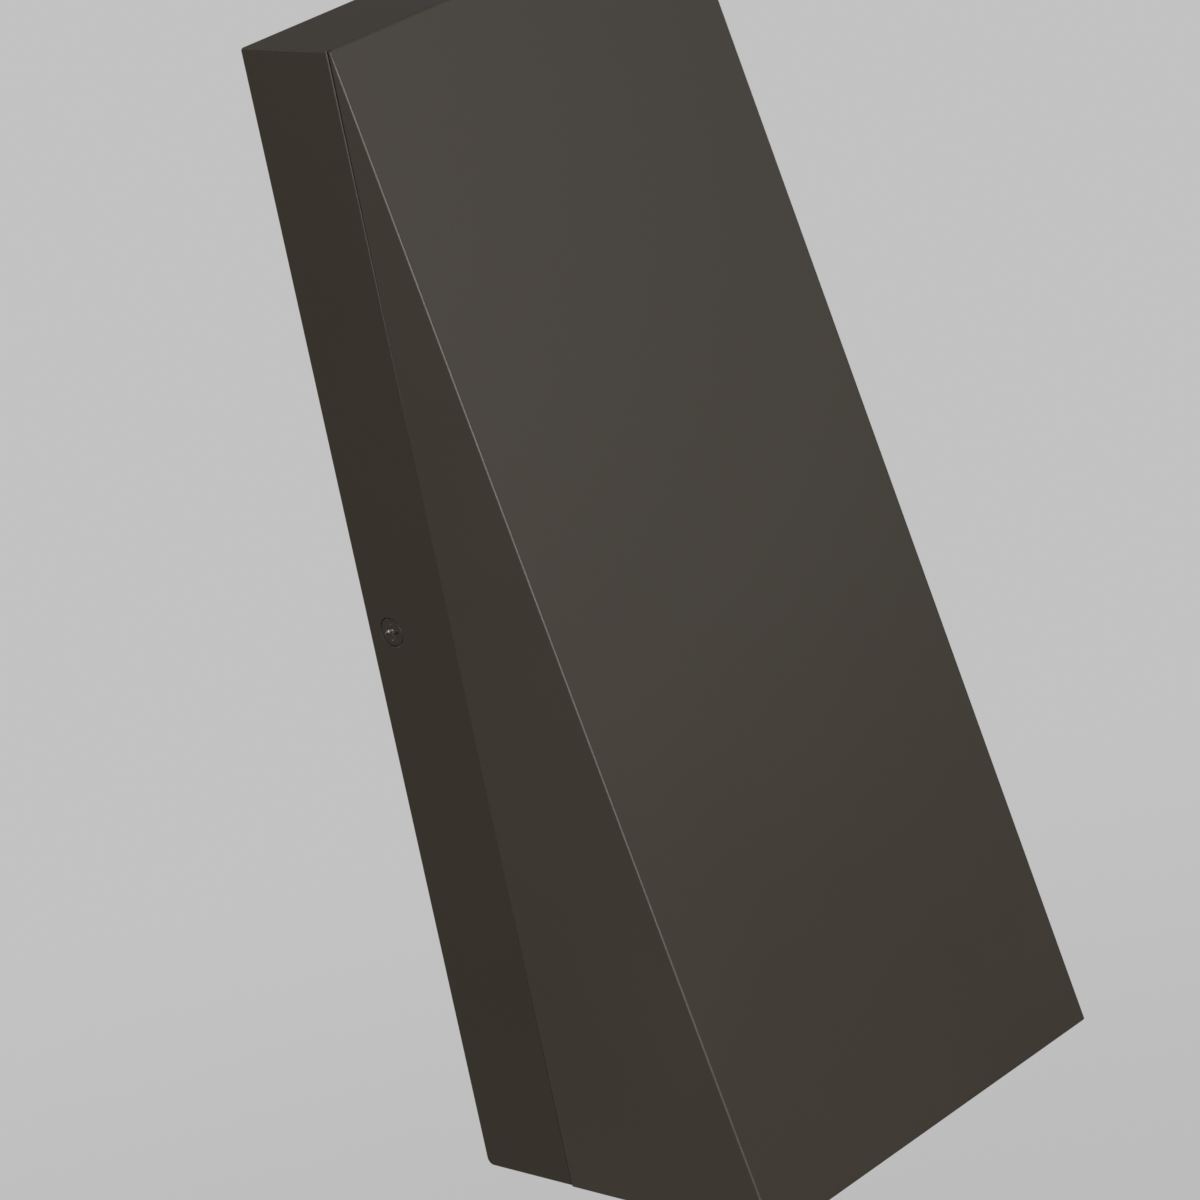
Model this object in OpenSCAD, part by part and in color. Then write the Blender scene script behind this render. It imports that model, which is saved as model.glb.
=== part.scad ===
// Wedge-shaped outdoor wall light, in millimetres.
// X runs across the width, with +X on the right as seen from the front. Y points into the wall and
// Z points up. The origin is the centre of the face that lies on the wall, at mid-height.

/* [Body] */
// Width of the whole light
body_w = 127.6; // [112:0.1:160]
// Height of the whole light
body_h = 304.8; // [290:0.1:340]
// Depth of the straight rear housing, from the wall to the seam
housing_d = 30.3; // [28:0.1:36]
// Depth of the whole light at its bottom edge
body_d = 100.5; // [96:0.1:120]
// Wall thickness of the rear housing
housing_t = 2.2; // [2.1:0.1:3]
// Radius of the rear housing's lower corner at the wall
rear_bottom_r = 2; // [0.5:0.1:4]
// Radius of the rear housing's upper corner at the wall
rear_top_r = 0.8; // [0.2:0.1:3]

/* [Wedge cover] */
// Sheet thickness of the wedge cover
cover_t = 1.2; // [1:0.1:1.6]
// How far the cover hangs below the rear housing
cover_drop = 0.3; // [0:0.1:1]
// Gap between the front sheet and the housing along the top edge
cover_gap = 0.1; // [0.05:0.05:0.4]
// Opening of the side seam at the top
seam_top_gap = 0.75; // [0.2:0.05:1]
// Opening of the side seam at the bottom
seam_bottom_gap = 0.25; // [0.05:0.05:0.6]
// Height above the middle from which the seam opens upwards
seam_opens_above = 50; // [20:1:90]
// Depth below the middle from which the seam opens downwards
seam_opens_below = 35; // [20:1:90]
// Width of the flange turned inwards behind the cover
flange_w = 12; // [10:0.5:12]
// Thickness of the gasket between the flange and the housing
cover_gasket_t = 0.5; // [0.3:0.1:1]
// Height of the flange's lower end above the bottom edge
flange_lift = 14.4; // [14:0.2:20]

/* [Side screws] */
// Distance of the side screws from the wall
side_screw_inset = 8; // [8:0.1:10]
// Thread diameter of the side screws
side_screw_d = 4; // [3.5:0.1:4]
// Diameter of a side screw's head
side_head_d = 7.5; // [7:0.1:7.6]
// Depth of the head's top below the housing's face
side_head_sunk = 0.15; // [0.1:0.05:0.3]
// Overall length of a side screw
side_screw_l = 12; // [10:0.5:16]
// Width across the cross recess
cross_w = 4.4; // [3:0.1:5]

/* [Wall bracket] */
// Sheet left on the bracket beyond the slots for the outlet box screws
bracket_edge = 4.65; // [4:0.05:10]
// Sheet thickness of the bracket
bracket_t = 1.5; // [1.2:0.1:2]
// Thickness of the foam gasket behind the bracket
wall_gasket_t = 2; // [1:0.1:2]
// Clearance between an ear and the housing's side wall
ear_gap = 0.3; // [0.2:0.1:1]
// Height of an ear
ear_h = 24; // [16:1:40]
// Reach of the ears from the wall
ear_reach = 16; // [14:0.5:18]
// Inside radius of the ear's bend
ear_bend_r = 0.8; // [0.4:0.1:1]
// Wider spacing of the outlet box screws
box_screw_far = 88.9; // [85:0.1:90]
// Narrower spacing of the outlet box screws
box_screw_near = 69.9; // [66:0.1:72]
// Width of the slots for the outlet box screws
box_slot_w = 4.8; // [4.4:0.1:5.2]
// Diameter of the opening for the house wires
wire_opening_d = 40; // [30:1:50]
// Spacing across of the four wall plug holes
plug_hole_across = 84; // [80:1:90]
// Spacing upwards of the four wall plug holes
plug_hole_up = 84; // [80:1:88]
// Diameter of the wall plug holes
plug_hole_d = 5.5; // [4.5:0.1:6]

/* [Wiring] */
// Width of the terminal block
terminal_w = 40; // [40:1:50]
// Height of the terminal block
terminal_h = 20; // [18:1:26]
// Depth of the terminal block
terminal_d = 15.1; // [12:0.1:18]
// Pitch of the terminals
terminal_pitch = 9; // [8:0.5:10]
// Diameter of the wire entries for the house wires
entry_d = 3.2; // [2.8:0.1:3.6]
// Depth of the wire entries for the house wires
entry_l = 8; // [6:0.5:10]
// Diameter of a lead inside the light
lead_d = 2; // [1.6:0.1:2.1]
// Diameter of the grommet's hole through the housing
grommet_hole_d = 11; // [10.5:0.5:13]
// Thread diameter of the breather vent
vent_d = 8; // [6:0.5:10]

/* [Driver] */
// Width of the driver case
driver_w = 44; // [40:1:56]
// Length of the driver case
driver_l = 90; // [80:1:92]
// Depth of the driver case
driver_d = 24; // [20:0.5:25]
// Wall thickness of the driver case
driver_t = 1.8; // [1.4:0.1:2.4]
// Length of the tabs at the driver's ends
driver_tab_l = 9; // [8:0.5:10]

/* [Light module] */
// Height of the lens frame's underside above the cover's bottom edge
lens_recess = 8; // [6:0.5:10]
// Thickness of the lens frame
frame_t = 4; // [3.5:0.1:5]
// Thickness of the lip that carries the diffuser
lip_t = 2; // [1.6:0.1:2.2]
// Width of the light's side and lens frame beside the light window
window_side = 25.8; // [24:0.1:30]
// Depth of the light window
window_d = 34; // [30:1:36]
// Overlap of the diffuser on the lip, on each side
lip_overlap = 3; // [2.5:0.1:3.2]
// Thickness of the diffuser glass
diffuser_t = 3; // [2:0.5:4]
// Thickness of the silicone gasket under the diffuser
diffuser_gasket_t = 1; // [0.5:0.1:1.5]
// Height of the reflector
reflector_h = 12; // [10:0.5:14]
// Wall thickness of the reflector
reflector_t = 1.5; // [1:0.1:1.6]
// Thickness of the LED board
led_board_t = 1.6; // [1:0.1:2]
// Width of one LED
led_w = 3; // [2.6:0.1:3.5]
// LEDs in one row
leds_per_row = 8; // [4:1:10]
// Distance from the end of the light window to the middle of the first LED
led_end = 6.5; // [5.5:0.1:12]
// Thickness of the thermal pad
thermal_pad_t = 0.5; // [0.3:0.1:1]
// Thickness of the heat sink's base
sink_base_t = 4; // [3:0.2:6]
// Height of the heat sink's fins
fin_h = 16; // [8:0.5:18]
// Thickness of one fin
fin_t = 1.8; // [1.2:0.1:2.2]
// Number of fins
fin_count = 7; // [4:1:8]
// Height of the heat sink's flange on the housing
sink_flange_h = 32; // [28:0.5:34]
// Width of the silicone seal around the lens frame
seal_w = 1.5; // [1:0.1:2]

/* [Hidden] */
$fn = 64;
// Overshoot of a cut past the face that it opens
cut = 1;
// Radial gap round a fixed pin or screw in its own hole
snug = 0.02;
// Radial running gap of a side screw in its nut
screw_run = 0.05;
// Radial gap of a screw in a clearance hole
screw_play = 0.2;
// Gap round a lead in its hole
lead_play = 0.1;
// Diameter of the small screws inside the light
small_d = 3;
small_head_d = 5.6;
small_head_t = 1.8;

top_z = body_h / 2;
bottom_z = -body_h / 2;
low_z = bottom_z - cover_drop;
half_w = body_w / 2;
plate_y = -(housing_d - housing_t);
boss_h = 3;
cover_half = half_w - cover_t;

// The front sheet falls away from the top edge by this much depth for each millimetre of height.
slope = (body_d - housing_d - cover_gap - cover_t) / body_h;
cover_across = cover_t / cos(atan(slope));
function front_y(z) = -(body_d - (z - bottom_z) * slope);
function inner_y(z) = front_y(z) + cover_across;
// Height at which the wedge leaves the given depth free in front of the housing
function height_for(depth) = bottom_z + (body_d - cover_across - housing_d - depth) / slope;

// Cover flange and its fixings
nut_shank_d = 4.4;
nut_rim_d = 5.6;
nut_rim_t = 2;
flange_y = -(housing_d + cover_gasket_t);
flange_low = bottom_z + flange_lift;
flange_high = height_for(cover_gasket_t + cover_t + nut_rim_t + 1);
cover_screw_x = cover_half - flange_w / 2;
cover_screw_low = flange_low + 40;
cover_screw_high = flange_high - flange_w / 2;
cover_screw_z = [cover_screw_low, (cover_screw_low + cover_screw_high) / 2, cover_screw_high];

// Side screw, measured inwards from the housing's face
head_r = side_head_d / 2;
head_rim = 0.1;
seat_gap = 0.1;
seat_r = head_r + side_head_sunk + head_rim + seat_gap;
side_hole_r = side_screw_d / 2 + screw_play;
cross_arm = 0.9;
cross_depth = 2;

// Wall bracket
ear_x = half_w - housing_t - ear_gap;
bend_x = ear_x - bracket_t - ear_bend_r;
bend_y = -(wall_gasket_t + bracket_t + ear_bend_r);
bracket_front = -(wall_gasket_t + bracket_t);
ear_nut_shank_r = 3;
ear_nut_rim_r = 3.2;
ear_nut_l = 4;
box_slot_spare = 1;
box_slot_mid = (box_screw_far + box_screw_near) / 2;
box_slot_l = (box_screw_far - box_screw_near) / 2 + box_slot_w + box_slot_spare;
bracket_h = box_slot_mid + box_slot_l + 2 * bracket_edge;
plate_corner_r = 4;
ground_x = -(wire_opening_d / 2 + bend_x) / 2;
ground_r = 2;
ground_washer_r = 5;
ground_washer_t = 1;
ground_head_r = 4;
ground_head_t = 3;

// Terminal block, above the bracket on the housing's inner face
terminal_z = bracket_h / 2 + 14 + terminal_h / 2;
terminal_face = plate_y + terminal_d;
poles = [-terminal_pitch, 0, terminal_pitch];
terminal_screw_x = terminal_w / 2 - 4;
entry_z = terminal_z + terminal_h / 4;
clamp_z = terminal_z - terminal_h / 4;
clamp_r = 1.9;
clamp_l = 5;
lead_tail = 4;
pole_gap = 0.1;
terminal_head_y = terminal_face - 6;

// Light module, stacked upwards from the lens frame
frame_z = low_z + lens_recess;
frame_top = frame_z + frame_t;
glass_z = frame_z + lip_t + diffuser_gasket_t;
reflector_z = glass_z + diffuser_t;
board_z = reflector_z + reflector_h;
pad_z = board_z + led_board_t;
sink_z = pad_z + thermal_pad_t;
fin_z = sink_z + sink_base_t;
module_y = (inner_y(frame_z) - housing_d) / 2;
window_w = body_w - 2 * window_side;
led_pitch = (window_w - 2 * led_end) / (leds_per_row - 1);
glass_w = window_w + 2 * lip_overlap;
glass_d = window_d + 2 * lip_overlap;
glass_gap = 0.3;
seal_gap = 0.05;
frame_half = cover_half - seal_w;
sink_half = cover_half - 3.4;
board_half = sink_half - 9.2;
board_d = 38;
board_screw_x = board_half - 3.5;
board_screw_y = board_d / 2 - 4;
connector_l = 7;
connector_w = 8;
connector_t = 4;
sink_back = -(housing_d + 4);
sink_front = inner_y(fin_z) + 2.2;
sink_flange_half = cover_half - flange_w - 4;
sink_screw_x = 36;
sink_screw_z = sink_z + sink_flange_h - 6;
fin_first = module_y + 20;
fin_pitch = (fin_first - sink_front - 7) / (fin_count - 1);
post_r = 3;
post_x = sink_half - 5;
post_y = module_y - sink_front - 4.5;
notch_depth = 6;
notch_x = -(sink_half - notch_depth / 2);
notch_y = module_y + 2;
notch_w = 9.4;

// Driver, in front of the housing and above the heat sink
driver_tab_t = 2;
driver_tab_w = 14;
driver_low = sink_z + sink_flange_h + 8 + driver_tab_l;
driver_high = driver_low + driver_l;
driver_front = -(housing_d + driver_d);
lid_t = 2;
driver_screws_z = [driver_high + driver_tab_l / 2 + 0.5, driver_low - driver_tab_l / 2 - 0.5];
circuit_y = -(housing_d + 5);
circuit_t = 1.6;
circuit_face = circuit_y - circuit_t;
circuit_end = 14;
core_w = 18;
core_t = 12;
core_window_deep = 2.5;
core_window_t = 7;
core_window_h = 6;
capacitor_r = 4.5;
capacitor_l = 12.5;
capacitor_x = 8;
capacitor_end = 10;

// Leads: the three supply leads leave the driver at the top right, the two LED leads at the
// bottom left. Each pair or set is held by a clip between the driver and its next hole.
lead_r = lead_d / 2;
lead_y = -(housing_d + 8);
bundle_pitch = lead_d + 0.35;
bundle_x = 14;
supply_x = [bundle_x - bundle_pitch, bundle_x, bundle_x + bundle_pitch];
led_lead_x = [-16, -12.8];
led_lead_y = [notch_y + 1.7, notch_y - 1.7];
led_lead_down = [0, lead_d + 1.2];
supply_clip_z = driver_high + 6;
led_clip_z = driver_low - 6;
grommet_z = driver_high + 20;
grommet_bore_r = bundle_pitch + lead_r + lead_play;
grommet_rim_r = grommet_hole_d / 2 + 2;
grommet_rim_t = 1.5;
vent_x = -30;
tail_y = terminal_face - clamp_l - lead_r - 1;

// Colours
bronze = [0.26, 0.24, 0.21];
zinc = [0.72, 0.72, 0.7];
foam = [0.16, 0.16, 0.16];
silicone = [0.75, 0.75, 0.72];

// Shared shapes

// Extrudes a side profile, drawn as depth and height, across the width.
module across(width) {
    rotate([90, 0, 90]) linear_extrude(width, center = true) children();
}

// A round bar whose axis runs along Y, from one depth to another.
module y_bar(r, y0, y1) {
    translate([0, min(y0, y1), 0]) rotate([-90, 0, 0]) cylinder(r = r, h = abs(y1 - y0));
}

// A block given by its lowest and highest corners.
module block(low, high) {
    translate(low) cube(high - low);
}

// A flat rectangle with round corners, about the origin.
module round_plate(w, h, r) {
    union() {
        square([w - 2 * r, h], center = true);
        square([w, h - 2 * r], center = true);
        for (x = [-1, 1], y = [-1, 1])
            translate([x * (w / 2 - r), y * (h / 2 - r)]) circle(r);
    }
}

// Lays a flat outline, drawn as across and up, between two depths.
module upright(y0, y1) {
    translate([0, max(y0, y1), 0]) rotate([90, 0, 0]) linear_extrude(abs(y1 - y0)) children();
}

// A slot that runs along Y in a flat outline.
module slot_outline(length, width) {
    union() {
        square([width, length - width], center = true);
        for (s = [-1, 1]) translate([0, s * (length - width) / 2]) circle(width / 2);
    }
}

// Repeats a shape on both sides, the second mirrored across the width.
module both_sides() {
    children();
    mirror([1, 0, 0]) children();
}

// A pan head screw whose head lies on depth y and whose shank runs to y_end.
module pan_screw(y, y_end, d = small_d, head_d = small_head_d, head_t = small_head_t) {
    away = y > y_end ? 1 : -1;
    difference() {
        union() {
            y_bar(head_d / 2, y, y + away * head_t);
            y_bar(d / 2, y, y_end);
        }
        y_cross(y + away * head_t, away, head_d * 0.55, head_t * 0.7);
    }
}

// A cross recess cut into a head that faces along Y.
module y_cross(y, away, span, depth) {
    arm = span / 4;
    for (turn = [0, 90]) rotate([0, turn, 0])
        block([-span / 2, min(y - away * depth, y + away), -arm / 2],
              [span / 2, max(y - away * depth, y + away), arm / 2]);
}

// A cross recess that is cut upwards into a head about the origin.
module upward_cross() {
    for (turn = [0, 90]) rotate(turn) cube([3, 0.8, 2.3], center = true);
}

module at_cover_screws() {
    for (x = [-cover_screw_x, cover_screw_x], z = cover_screw_z) translate([x, 0, z]) children();
}

module at_sink_screws() {
    for (x = [-sink_screw_x, 0, sink_screw_x]) translate([x, 0, sink_screw_z]) children();
}

module at_driver_screws() {
    for (z = driver_screws_z) translate([0, 0, z]) children();
}

module at_terminal_screws() {
    for (x = [-terminal_screw_x, terminal_screw_x]) translate([x, 0, terminal_z]) children();
}

module at_plug_holes() {
    for (x = [-1, 1], z = [-1, 1])
        translate([x * plug_hole_across / 2, 0, z * plug_hole_up / 2]) children();
}

module at_posts() {
    for (x = [-post_x, post_x], y = [-post_y, post_y]) translate([x, module_y + y, 0]) children();
}

module at_board_screws() {
    for (x = [-board_screw_x, board_screw_x], y = [-board_screw_y, board_screw_y])
        translate([x, module_y + y, 0]) children();
}

module at_grommet() {
    translate([bundle_x, 0, grommet_z]) children();
}

// Place of the vent, above the driver on the side away from the leads
module at_vent() {
    translate([vent_x, 0, grommet_z + 16]) children();
}

// Housing and cover

// Side profile of the rear housing, with its two round corners at the wall.
module housing_profile() {
    union() {
        polygon([
            [-housing_d, bottom_z], [-rear_bottom_r, bottom_z],
            [-rear_bottom_r, bottom_z + rear_bottom_r], [0, bottom_z + rear_bottom_r],
            [0, top_z - rear_top_r], [-rear_top_r, top_z - rear_top_r],
            [-rear_top_r, top_z], [-housing_d, top_z]
        ]);
        translate([-rear_bottom_r, bottom_z + rear_bottom_r]) circle(rear_bottom_r);
        translate([-rear_top_r, top_z - rear_top_r]) circle(rear_top_r);
    }
}

// Seat of a side screw in the left wall: a cone at a right angle that runs into a clearance hole.
module side_screw_seat() {
    translate([-half_w, -side_screw_inset, 0]) rotate([0, 90, 0]) {
        translate([0, 0, -cut]) cylinder(r = side_hole_r, h = housing_t + 2 * cut);
        translate([0, 0, -cut]) cylinder(r1 = seat_r + cut, r2 = 0, h = seat_r + cut);
    }
}

// Round boss on the wall side of the housing's plate, with room for one screw.
module plate_boss() {
    y_bar(4, plate_y - cut / 2, plate_y + boss_h);
}

module rear_housing() {
    color(bronze) difference() {
        union() {
            difference() {
                across(body_w) housing_profile();
                block([-half_w + housing_t, plate_y, bottom_z + housing_t],
                      [half_w - housing_t, cut, top_z - housing_t]);
            }
            at_sink_screws() plate_boss();
            at_driver_screws() plate_boss();
        }
        both_sides() side_screw_seat();
        at_cover_screws() y_bar(small_d / 2 + screw_play, -housing_d - cut, plate_y + cut);
        at_sink_screws() y_bar(small_d / 2 + snug, -housing_d - cut, plate_y + boss_h + cut);
        at_driver_screws() y_bar(small_d / 2 + snug, -housing_d - cut, plate_y + boss_h + cut);
        at_terminal_screws() y_bar(small_d / 2 + snug, -housing_d - cut, plate_y + cut);
        at_grommet() y_bar(grommet_hole_d / 2, -housing_d - cut, plate_y + cut);
        at_vent() y_bar(vent_d / 2 + snug, -housing_d - cut, plate_y + cut);
    }
}

// Outer profile of the cover, from the front face back to the housing.
module cover_profile() {
    polygon([
        [front_y(top_z), top_z], [front_y(low_z), low_z], [-housing_d, low_z],
        [-housing_d, seam_opens_above], [-housing_d - cover_gap, top_z]
    ]);
}

// Space inside the cover, open behind and below, kept away from the front sheet by a margin.
module cover_space(margin = 0) {
    polygon([
        [inner_y(top_z + cut) + margin, top_z + cut], [inner_y(low_z - cut) + margin, low_z - cut],
        [-housing_d + cut, low_z - cut], [-housing_d + cut, top_z + cut]
    ]);
}

// The two wedge-shaped openings of the seam in a cheek.
module seam_profile() {
    back = -housing_d + cut;
    polygon([
        [-housing_d, seam_opens_above], [-housing_d - seam_top_gap, top_z],
        [-housing_d - seam_top_gap, top_z + cut], [back, top_z + cut], [back, seam_opens_above]
    ]);
    polygon([
        [-housing_d, -seam_opens_below], [-housing_d - seam_bottom_gap, low_z],
        [-housing_d - seam_bottom_gap, low_z - cut], [back, low_z - cut], [back, -seam_opens_below]
    ]);
}

// Outline of the flange behind the cover: two uprights joined across the top, out to a given half
// width.
module flange_outline(half) {
    mid = (flange_low + flange_high) / 2;
    tall = flange_high - flange_low;
    difference() {
        translate([0, mid]) square([2 * half, tall], center = true);
        translate([0, mid - flange_w]) square([2 * (cover_half - flange_w), tall], center = true);
    }
}

module wedge_cover() {
    color(bronze * 1.08) difference() {
        union() {
            difference() {
                across(body_w) cover_profile();
                across(2 * cover_half) cover_space();
            }
            upright(flange_y, flange_y - cover_t) difference() {
                flange_outline(cover_half + cover_t / 2);
                for (x = [-cover_screw_x, cover_screw_x], z = cover_screw_z)
                    translate([x, z]) circle(nut_shank_d / 2);
            }
        }
        both_sides() translate([-half_w - cut + (cover_t + cut) / 2, 0, 0])
            across(cover_t + cut) seam_profile();
    }
}

module cover_gasket() {
    color(foam) upright(-housing_d, flange_y) difference() {
        flange_outline(cover_half);
        for (x = [-cover_screw_x, cover_screw_x], z = cover_screw_z)
            translate([x, z]) circle(small_d / 2 + screw_play);
    }
}

module cover_screws() {
    color(zinc) at_cover_screws() pan_screw(plate_y, flange_y - cover_t - nut_rim_t);
}

module cover_nuts() {
    color(zinc) at_cover_screws() difference() {
        union() {
            y_bar(nut_shank_d / 2 - snug, flange_y, flange_y - cover_t);
            y_bar(nut_rim_d / 2, flange_y - cover_t, flange_y - cover_t - nut_rim_t);
        }
        y_bar(small_d / 2 + snug, flange_y + cut, flange_y - cover_t - nut_rim_t - cut);
    }
}

// Wall bracket and side screws

// Flat outline of the bracket's plate with its openings; grow widens the openings.
module bracket_outline(grow) {
    difference() {
        round_plate(2 * bend_x, bracket_h, plate_corner_r);
        circle(wire_opening_d / 2 + grow);
        for (s = [-1, 1]) translate([0, s * box_slot_mid / 2])
            slot_outline(box_slot_l + 2 * grow, box_slot_w + 2 * grow);
        for (x = [-1, 1], z = [-1, 1])
            translate([x * plug_hole_across / 2, z * plug_hole_up / 2])
                circle(plug_hole_d / 2 + grow);
    }
}

// The right ear: a bend out of the plate and a straight tongue along the housing's wall.
module ear() {
    tongue_y = -ear_reach;
    difference() {
        translate([0, 0, -ear_h / 2]) linear_extrude(ear_h) union() {
            translate([bend_x - 4, bracket_front]) square([4, bracket_t]);
            intersection() {
                translate([bend_x, bend_y]) difference() {
                    circle(ear_bend_r + bracket_t);
                    circle(ear_bend_r);
                }
                translate([bend_x, bend_y]) square(ear_bend_r + bracket_t);
            }
            translate([ear_x - bracket_t, tongue_y]) square([bracket_t, bend_y - tongue_y]);
        }
        translate([ear_x - bracket_t - cut, -side_screw_inset, 0]) rotate([0, 90, 0])
            cylinder(r = ear_nut_shank_r, h = bracket_t + 2 * cut);
    }
}

module wall_bracket() {
    color(zinc) union() {
        difference() {
            upright(-wall_gasket_t, bracket_front) bracket_outline(0);
            translate([ground_x, 0, 0]) y_bar(ground_r + snug, cut, bracket_front - cut);
        }
        both_sides() ear();
    }
}

module wall_gasket() {
    color(foam) difference() {
        upright(0, -wall_gasket_t) bracket_outline(1);
        translate([ground_x, 0, 0]) y_bar(ground_washer_r, cut, -wall_gasket_t - cut);
    }
}

// The nut pressed into the right ear, seen from inside the housing.
module ear_nut() {
    inner = ear_x - bracket_t;
    translate([0, -side_screw_inset, 0]) rotate([0, 90, 0]) difference() {
        union() {
            translate([0, 0, inner]) cylinder(r = ear_nut_shank_r - snug, h = bracket_t);
            translate([0, 0, inner - ear_nut_l]) cylinder(r = ear_nut_rim_r, h = ear_nut_l);
        }
        translate([0, 0, inner - ear_nut_l - cut])
            cylinder(r = side_screw_d / 2 + screw_run, h = ear_nut_l + bracket_t + 2 * cut);
    }
}

module ear_nuts() {
    color(zinc) both_sides() ear_nut();
}

// The left side screw, built inwards from its head: rim, cone, shank and bevelled end.
module side_screw() {
    shank_r = side_screw_d / 2;
    cone_h = head_r - shank_r;
    end_bevel = 0.5;
    translate([-half_w + side_head_sunk, -side_screw_inset, 0]) rotate([0, 90, 0]) difference() {
        union() {
            cylinder(r = head_r, h = head_rim);
            translate([0, 0, head_rim]) cylinder(r1 = head_r, r2 = shank_r, h = cone_h);
            cylinder(r = shank_r, h = side_screw_l - end_bevel);
            translate([0, 0, side_screw_l - end_bevel])
                cylinder(r1 = shank_r, r2 = shank_r - end_bevel, h = end_bevel);
        }
        intersection() {
            union() {
                cube([cross_w, cross_arm, 2 * cross_depth], center = true);
                cube([cross_arm, cross_w, 2 * cross_depth], center = true);
            }
            translate([0, 0, -cut / 2])
                cylinder(r1 = cross_w / 2 + cut / 4, r2 = 0.5, h = cross_depth + cut / 2);
        }
    }
}

module left_side_screw() {
    color(bronze * 0.9) side_screw();
}

module right_side_screw() {
    color(bronze * 0.9) mirror([1, 0, 0]) side_screw();
}

module ground_screw() {
    head_y = bracket_front - ground_washer_t;
    color([0.16, 0.5, 0.25]) translate([ground_x, 0, 0]) difference() {
        union() {
            y_bar(ground_r, -0.5, head_y);
            rotate([90, 0, 0]) translate([0, 0, -head_y])
                cylinder(r = ground_head_r, h = ground_head_t, $fn = 6);
        }
        y_cross(head_y - ground_head_t, -1, ground_head_r, 1.6);
    }
}

module ground_washer() {
    color(zinc) translate([ground_x, 0, 0]) difference() {
        y_bar(ground_washer_r, bracket_front, bracket_front - ground_washer_t);
        y_bar(ground_r + screw_play, 0, bracket_front - ground_washer_t - cut);
    }
}

// Wiring

// Three pole housings clipped side by side, each with its wire entry, clamp and lead passage
module terminal_block() {
    ends = [-terminal_w / 2, -terminal_pitch / 2, terminal_pitch / 2, terminal_w / 2];
    color([0.9, 0.9, 0.87]) for (i = [0:2]) difference() {
        block([ends[i] + (i > 0 ? pole_gap / 2 : 0), plate_y, terminal_z - terminal_h / 2],
              [ends[i + 1] - (i < 2 ? pole_gap / 2 : 0), terminal_face, terminal_z + terminal_h / 2]);
        translate([poles[i], 0, 0]) {
            translate([0, 0, entry_z]) y_bar(entry_d / 2, terminal_face - entry_l, terminal_face + cut);
            translate([0, 0, clamp_z]) y_bar(clamp_r, terminal_face - clamp_l, terminal_face + cut);
            translate([0, tail_y, terminal_z - terminal_h / 2 - cut])
                cylinder(r = lead_r + lead_play, h = lead_tail + cut);
        }
        at_terminal_screws() {
            y_bar(small_d / 2 + screw_play, plate_y - cut, terminal_face + cut);
            y_bar(small_head_d / 2 + screw_play, terminal_head_y, terminal_face + cut);
        }
    }
}

module terminal_clamps() {
    color([0.78, 0.68, 0.36]) for (x = poles) translate([x, 0, clamp_z]) difference() {
        y_bar(clamp_r - snug, terminal_face - clamp_l, terminal_face - 1.5);
        block([-2, terminal_face - 2.3, -0.3], [2, terminal_face, 0.3]);
    }
}

module terminal_block_screws() {
    color(zinc) at_terminal_screws() pan_screw(terminal_head_y, -housing_d);
}

module lead_grommet() {
    color([0.08, 0.08, 0.08]) at_grommet() difference() {
        union() {
            y_bar(grommet_hole_d / 2 - snug, -housing_d, plate_y);
            y_bar(grommet_rim_r, -housing_d, -housing_d - grommet_rim_t);
            y_bar(grommet_rim_r, plate_y, plate_y + grommet_rim_t);
        }
        y_bar(grommet_bore_r, -housing_d - grommet_rim_t - cut, plate_y + grommet_rim_t + cut);
    }
}

// Vent with its membrane housing on the wall side of the plate
module breather_vent() {
    color([0.1, 0.1, 0.1]) at_vent() difference() {
        union() {
            y_bar(vent_d / 2 - snug, plate_y, -housing_d - 5);
            y_bar(vent_d / 2 + 3, plate_y, plate_y + 2);
            y_bar(vent_d / 2 + 2, plate_y + 2, plate_y + 5);
        }
        y_bar(vent_d / 2 - 1.5, plate_y + 1, -housing_d - 5 - cut);
        for (turn = [0:60:300]) rotate([0, turn, 0])
            translate([vent_d / 2 - 1, 0, 0]) y_bar(0.6, plate_y + 2.5, plate_y + 5 + cut);
    }
}

module breather_nut() {
    color([0.1, 0.1, 0.1]) at_vent() difference() {
        rotate([90, 0, 0]) translate([0, 0, housing_d]) cylinder(r = vent_d / 2 + 2.6, h = 3, $fn = 6);
        y_bar(vent_d / 2 + snug, -housing_d + cut, -housing_d - 3 - cut);
    }
}

// A point on the smooth bend between two legs of a route, by the quadratic through its corner
function bend_point(a, b, c, t) = (1 - t) * (1 - t) * a + 2 * t * (1 - t) * b + t * t * c;
function toward(a, b, d) = a + (b - a) * d / norm(b - a);
function rounded_route(p, r) = concat(
    [p[0]],
    [for (i = [1:len(p) - 2], k = [0:6])
        bend_point(toward(p[i], p[i - 1], r), p[i], toward(p[i], p[i + 1], r), k / 6)],
    [p[len(p) - 1]]
);

// Directions at each point of a route
function unit(v) = v / norm(v);
function route_dir(p, i) = unit(p[min(i + 1, len(p) - 1)] - p[max(i - 1, 0)]);
// Carries a side direction along the route without twist
function carried(p, i, s) = i == 0 ? [s] : let(
    done = carried(p, i - 1, s),
    last = done[i - 1],
    d = route_dir(p, i)
) concat(done, [unit(last - d * (last * d))]);

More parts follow.
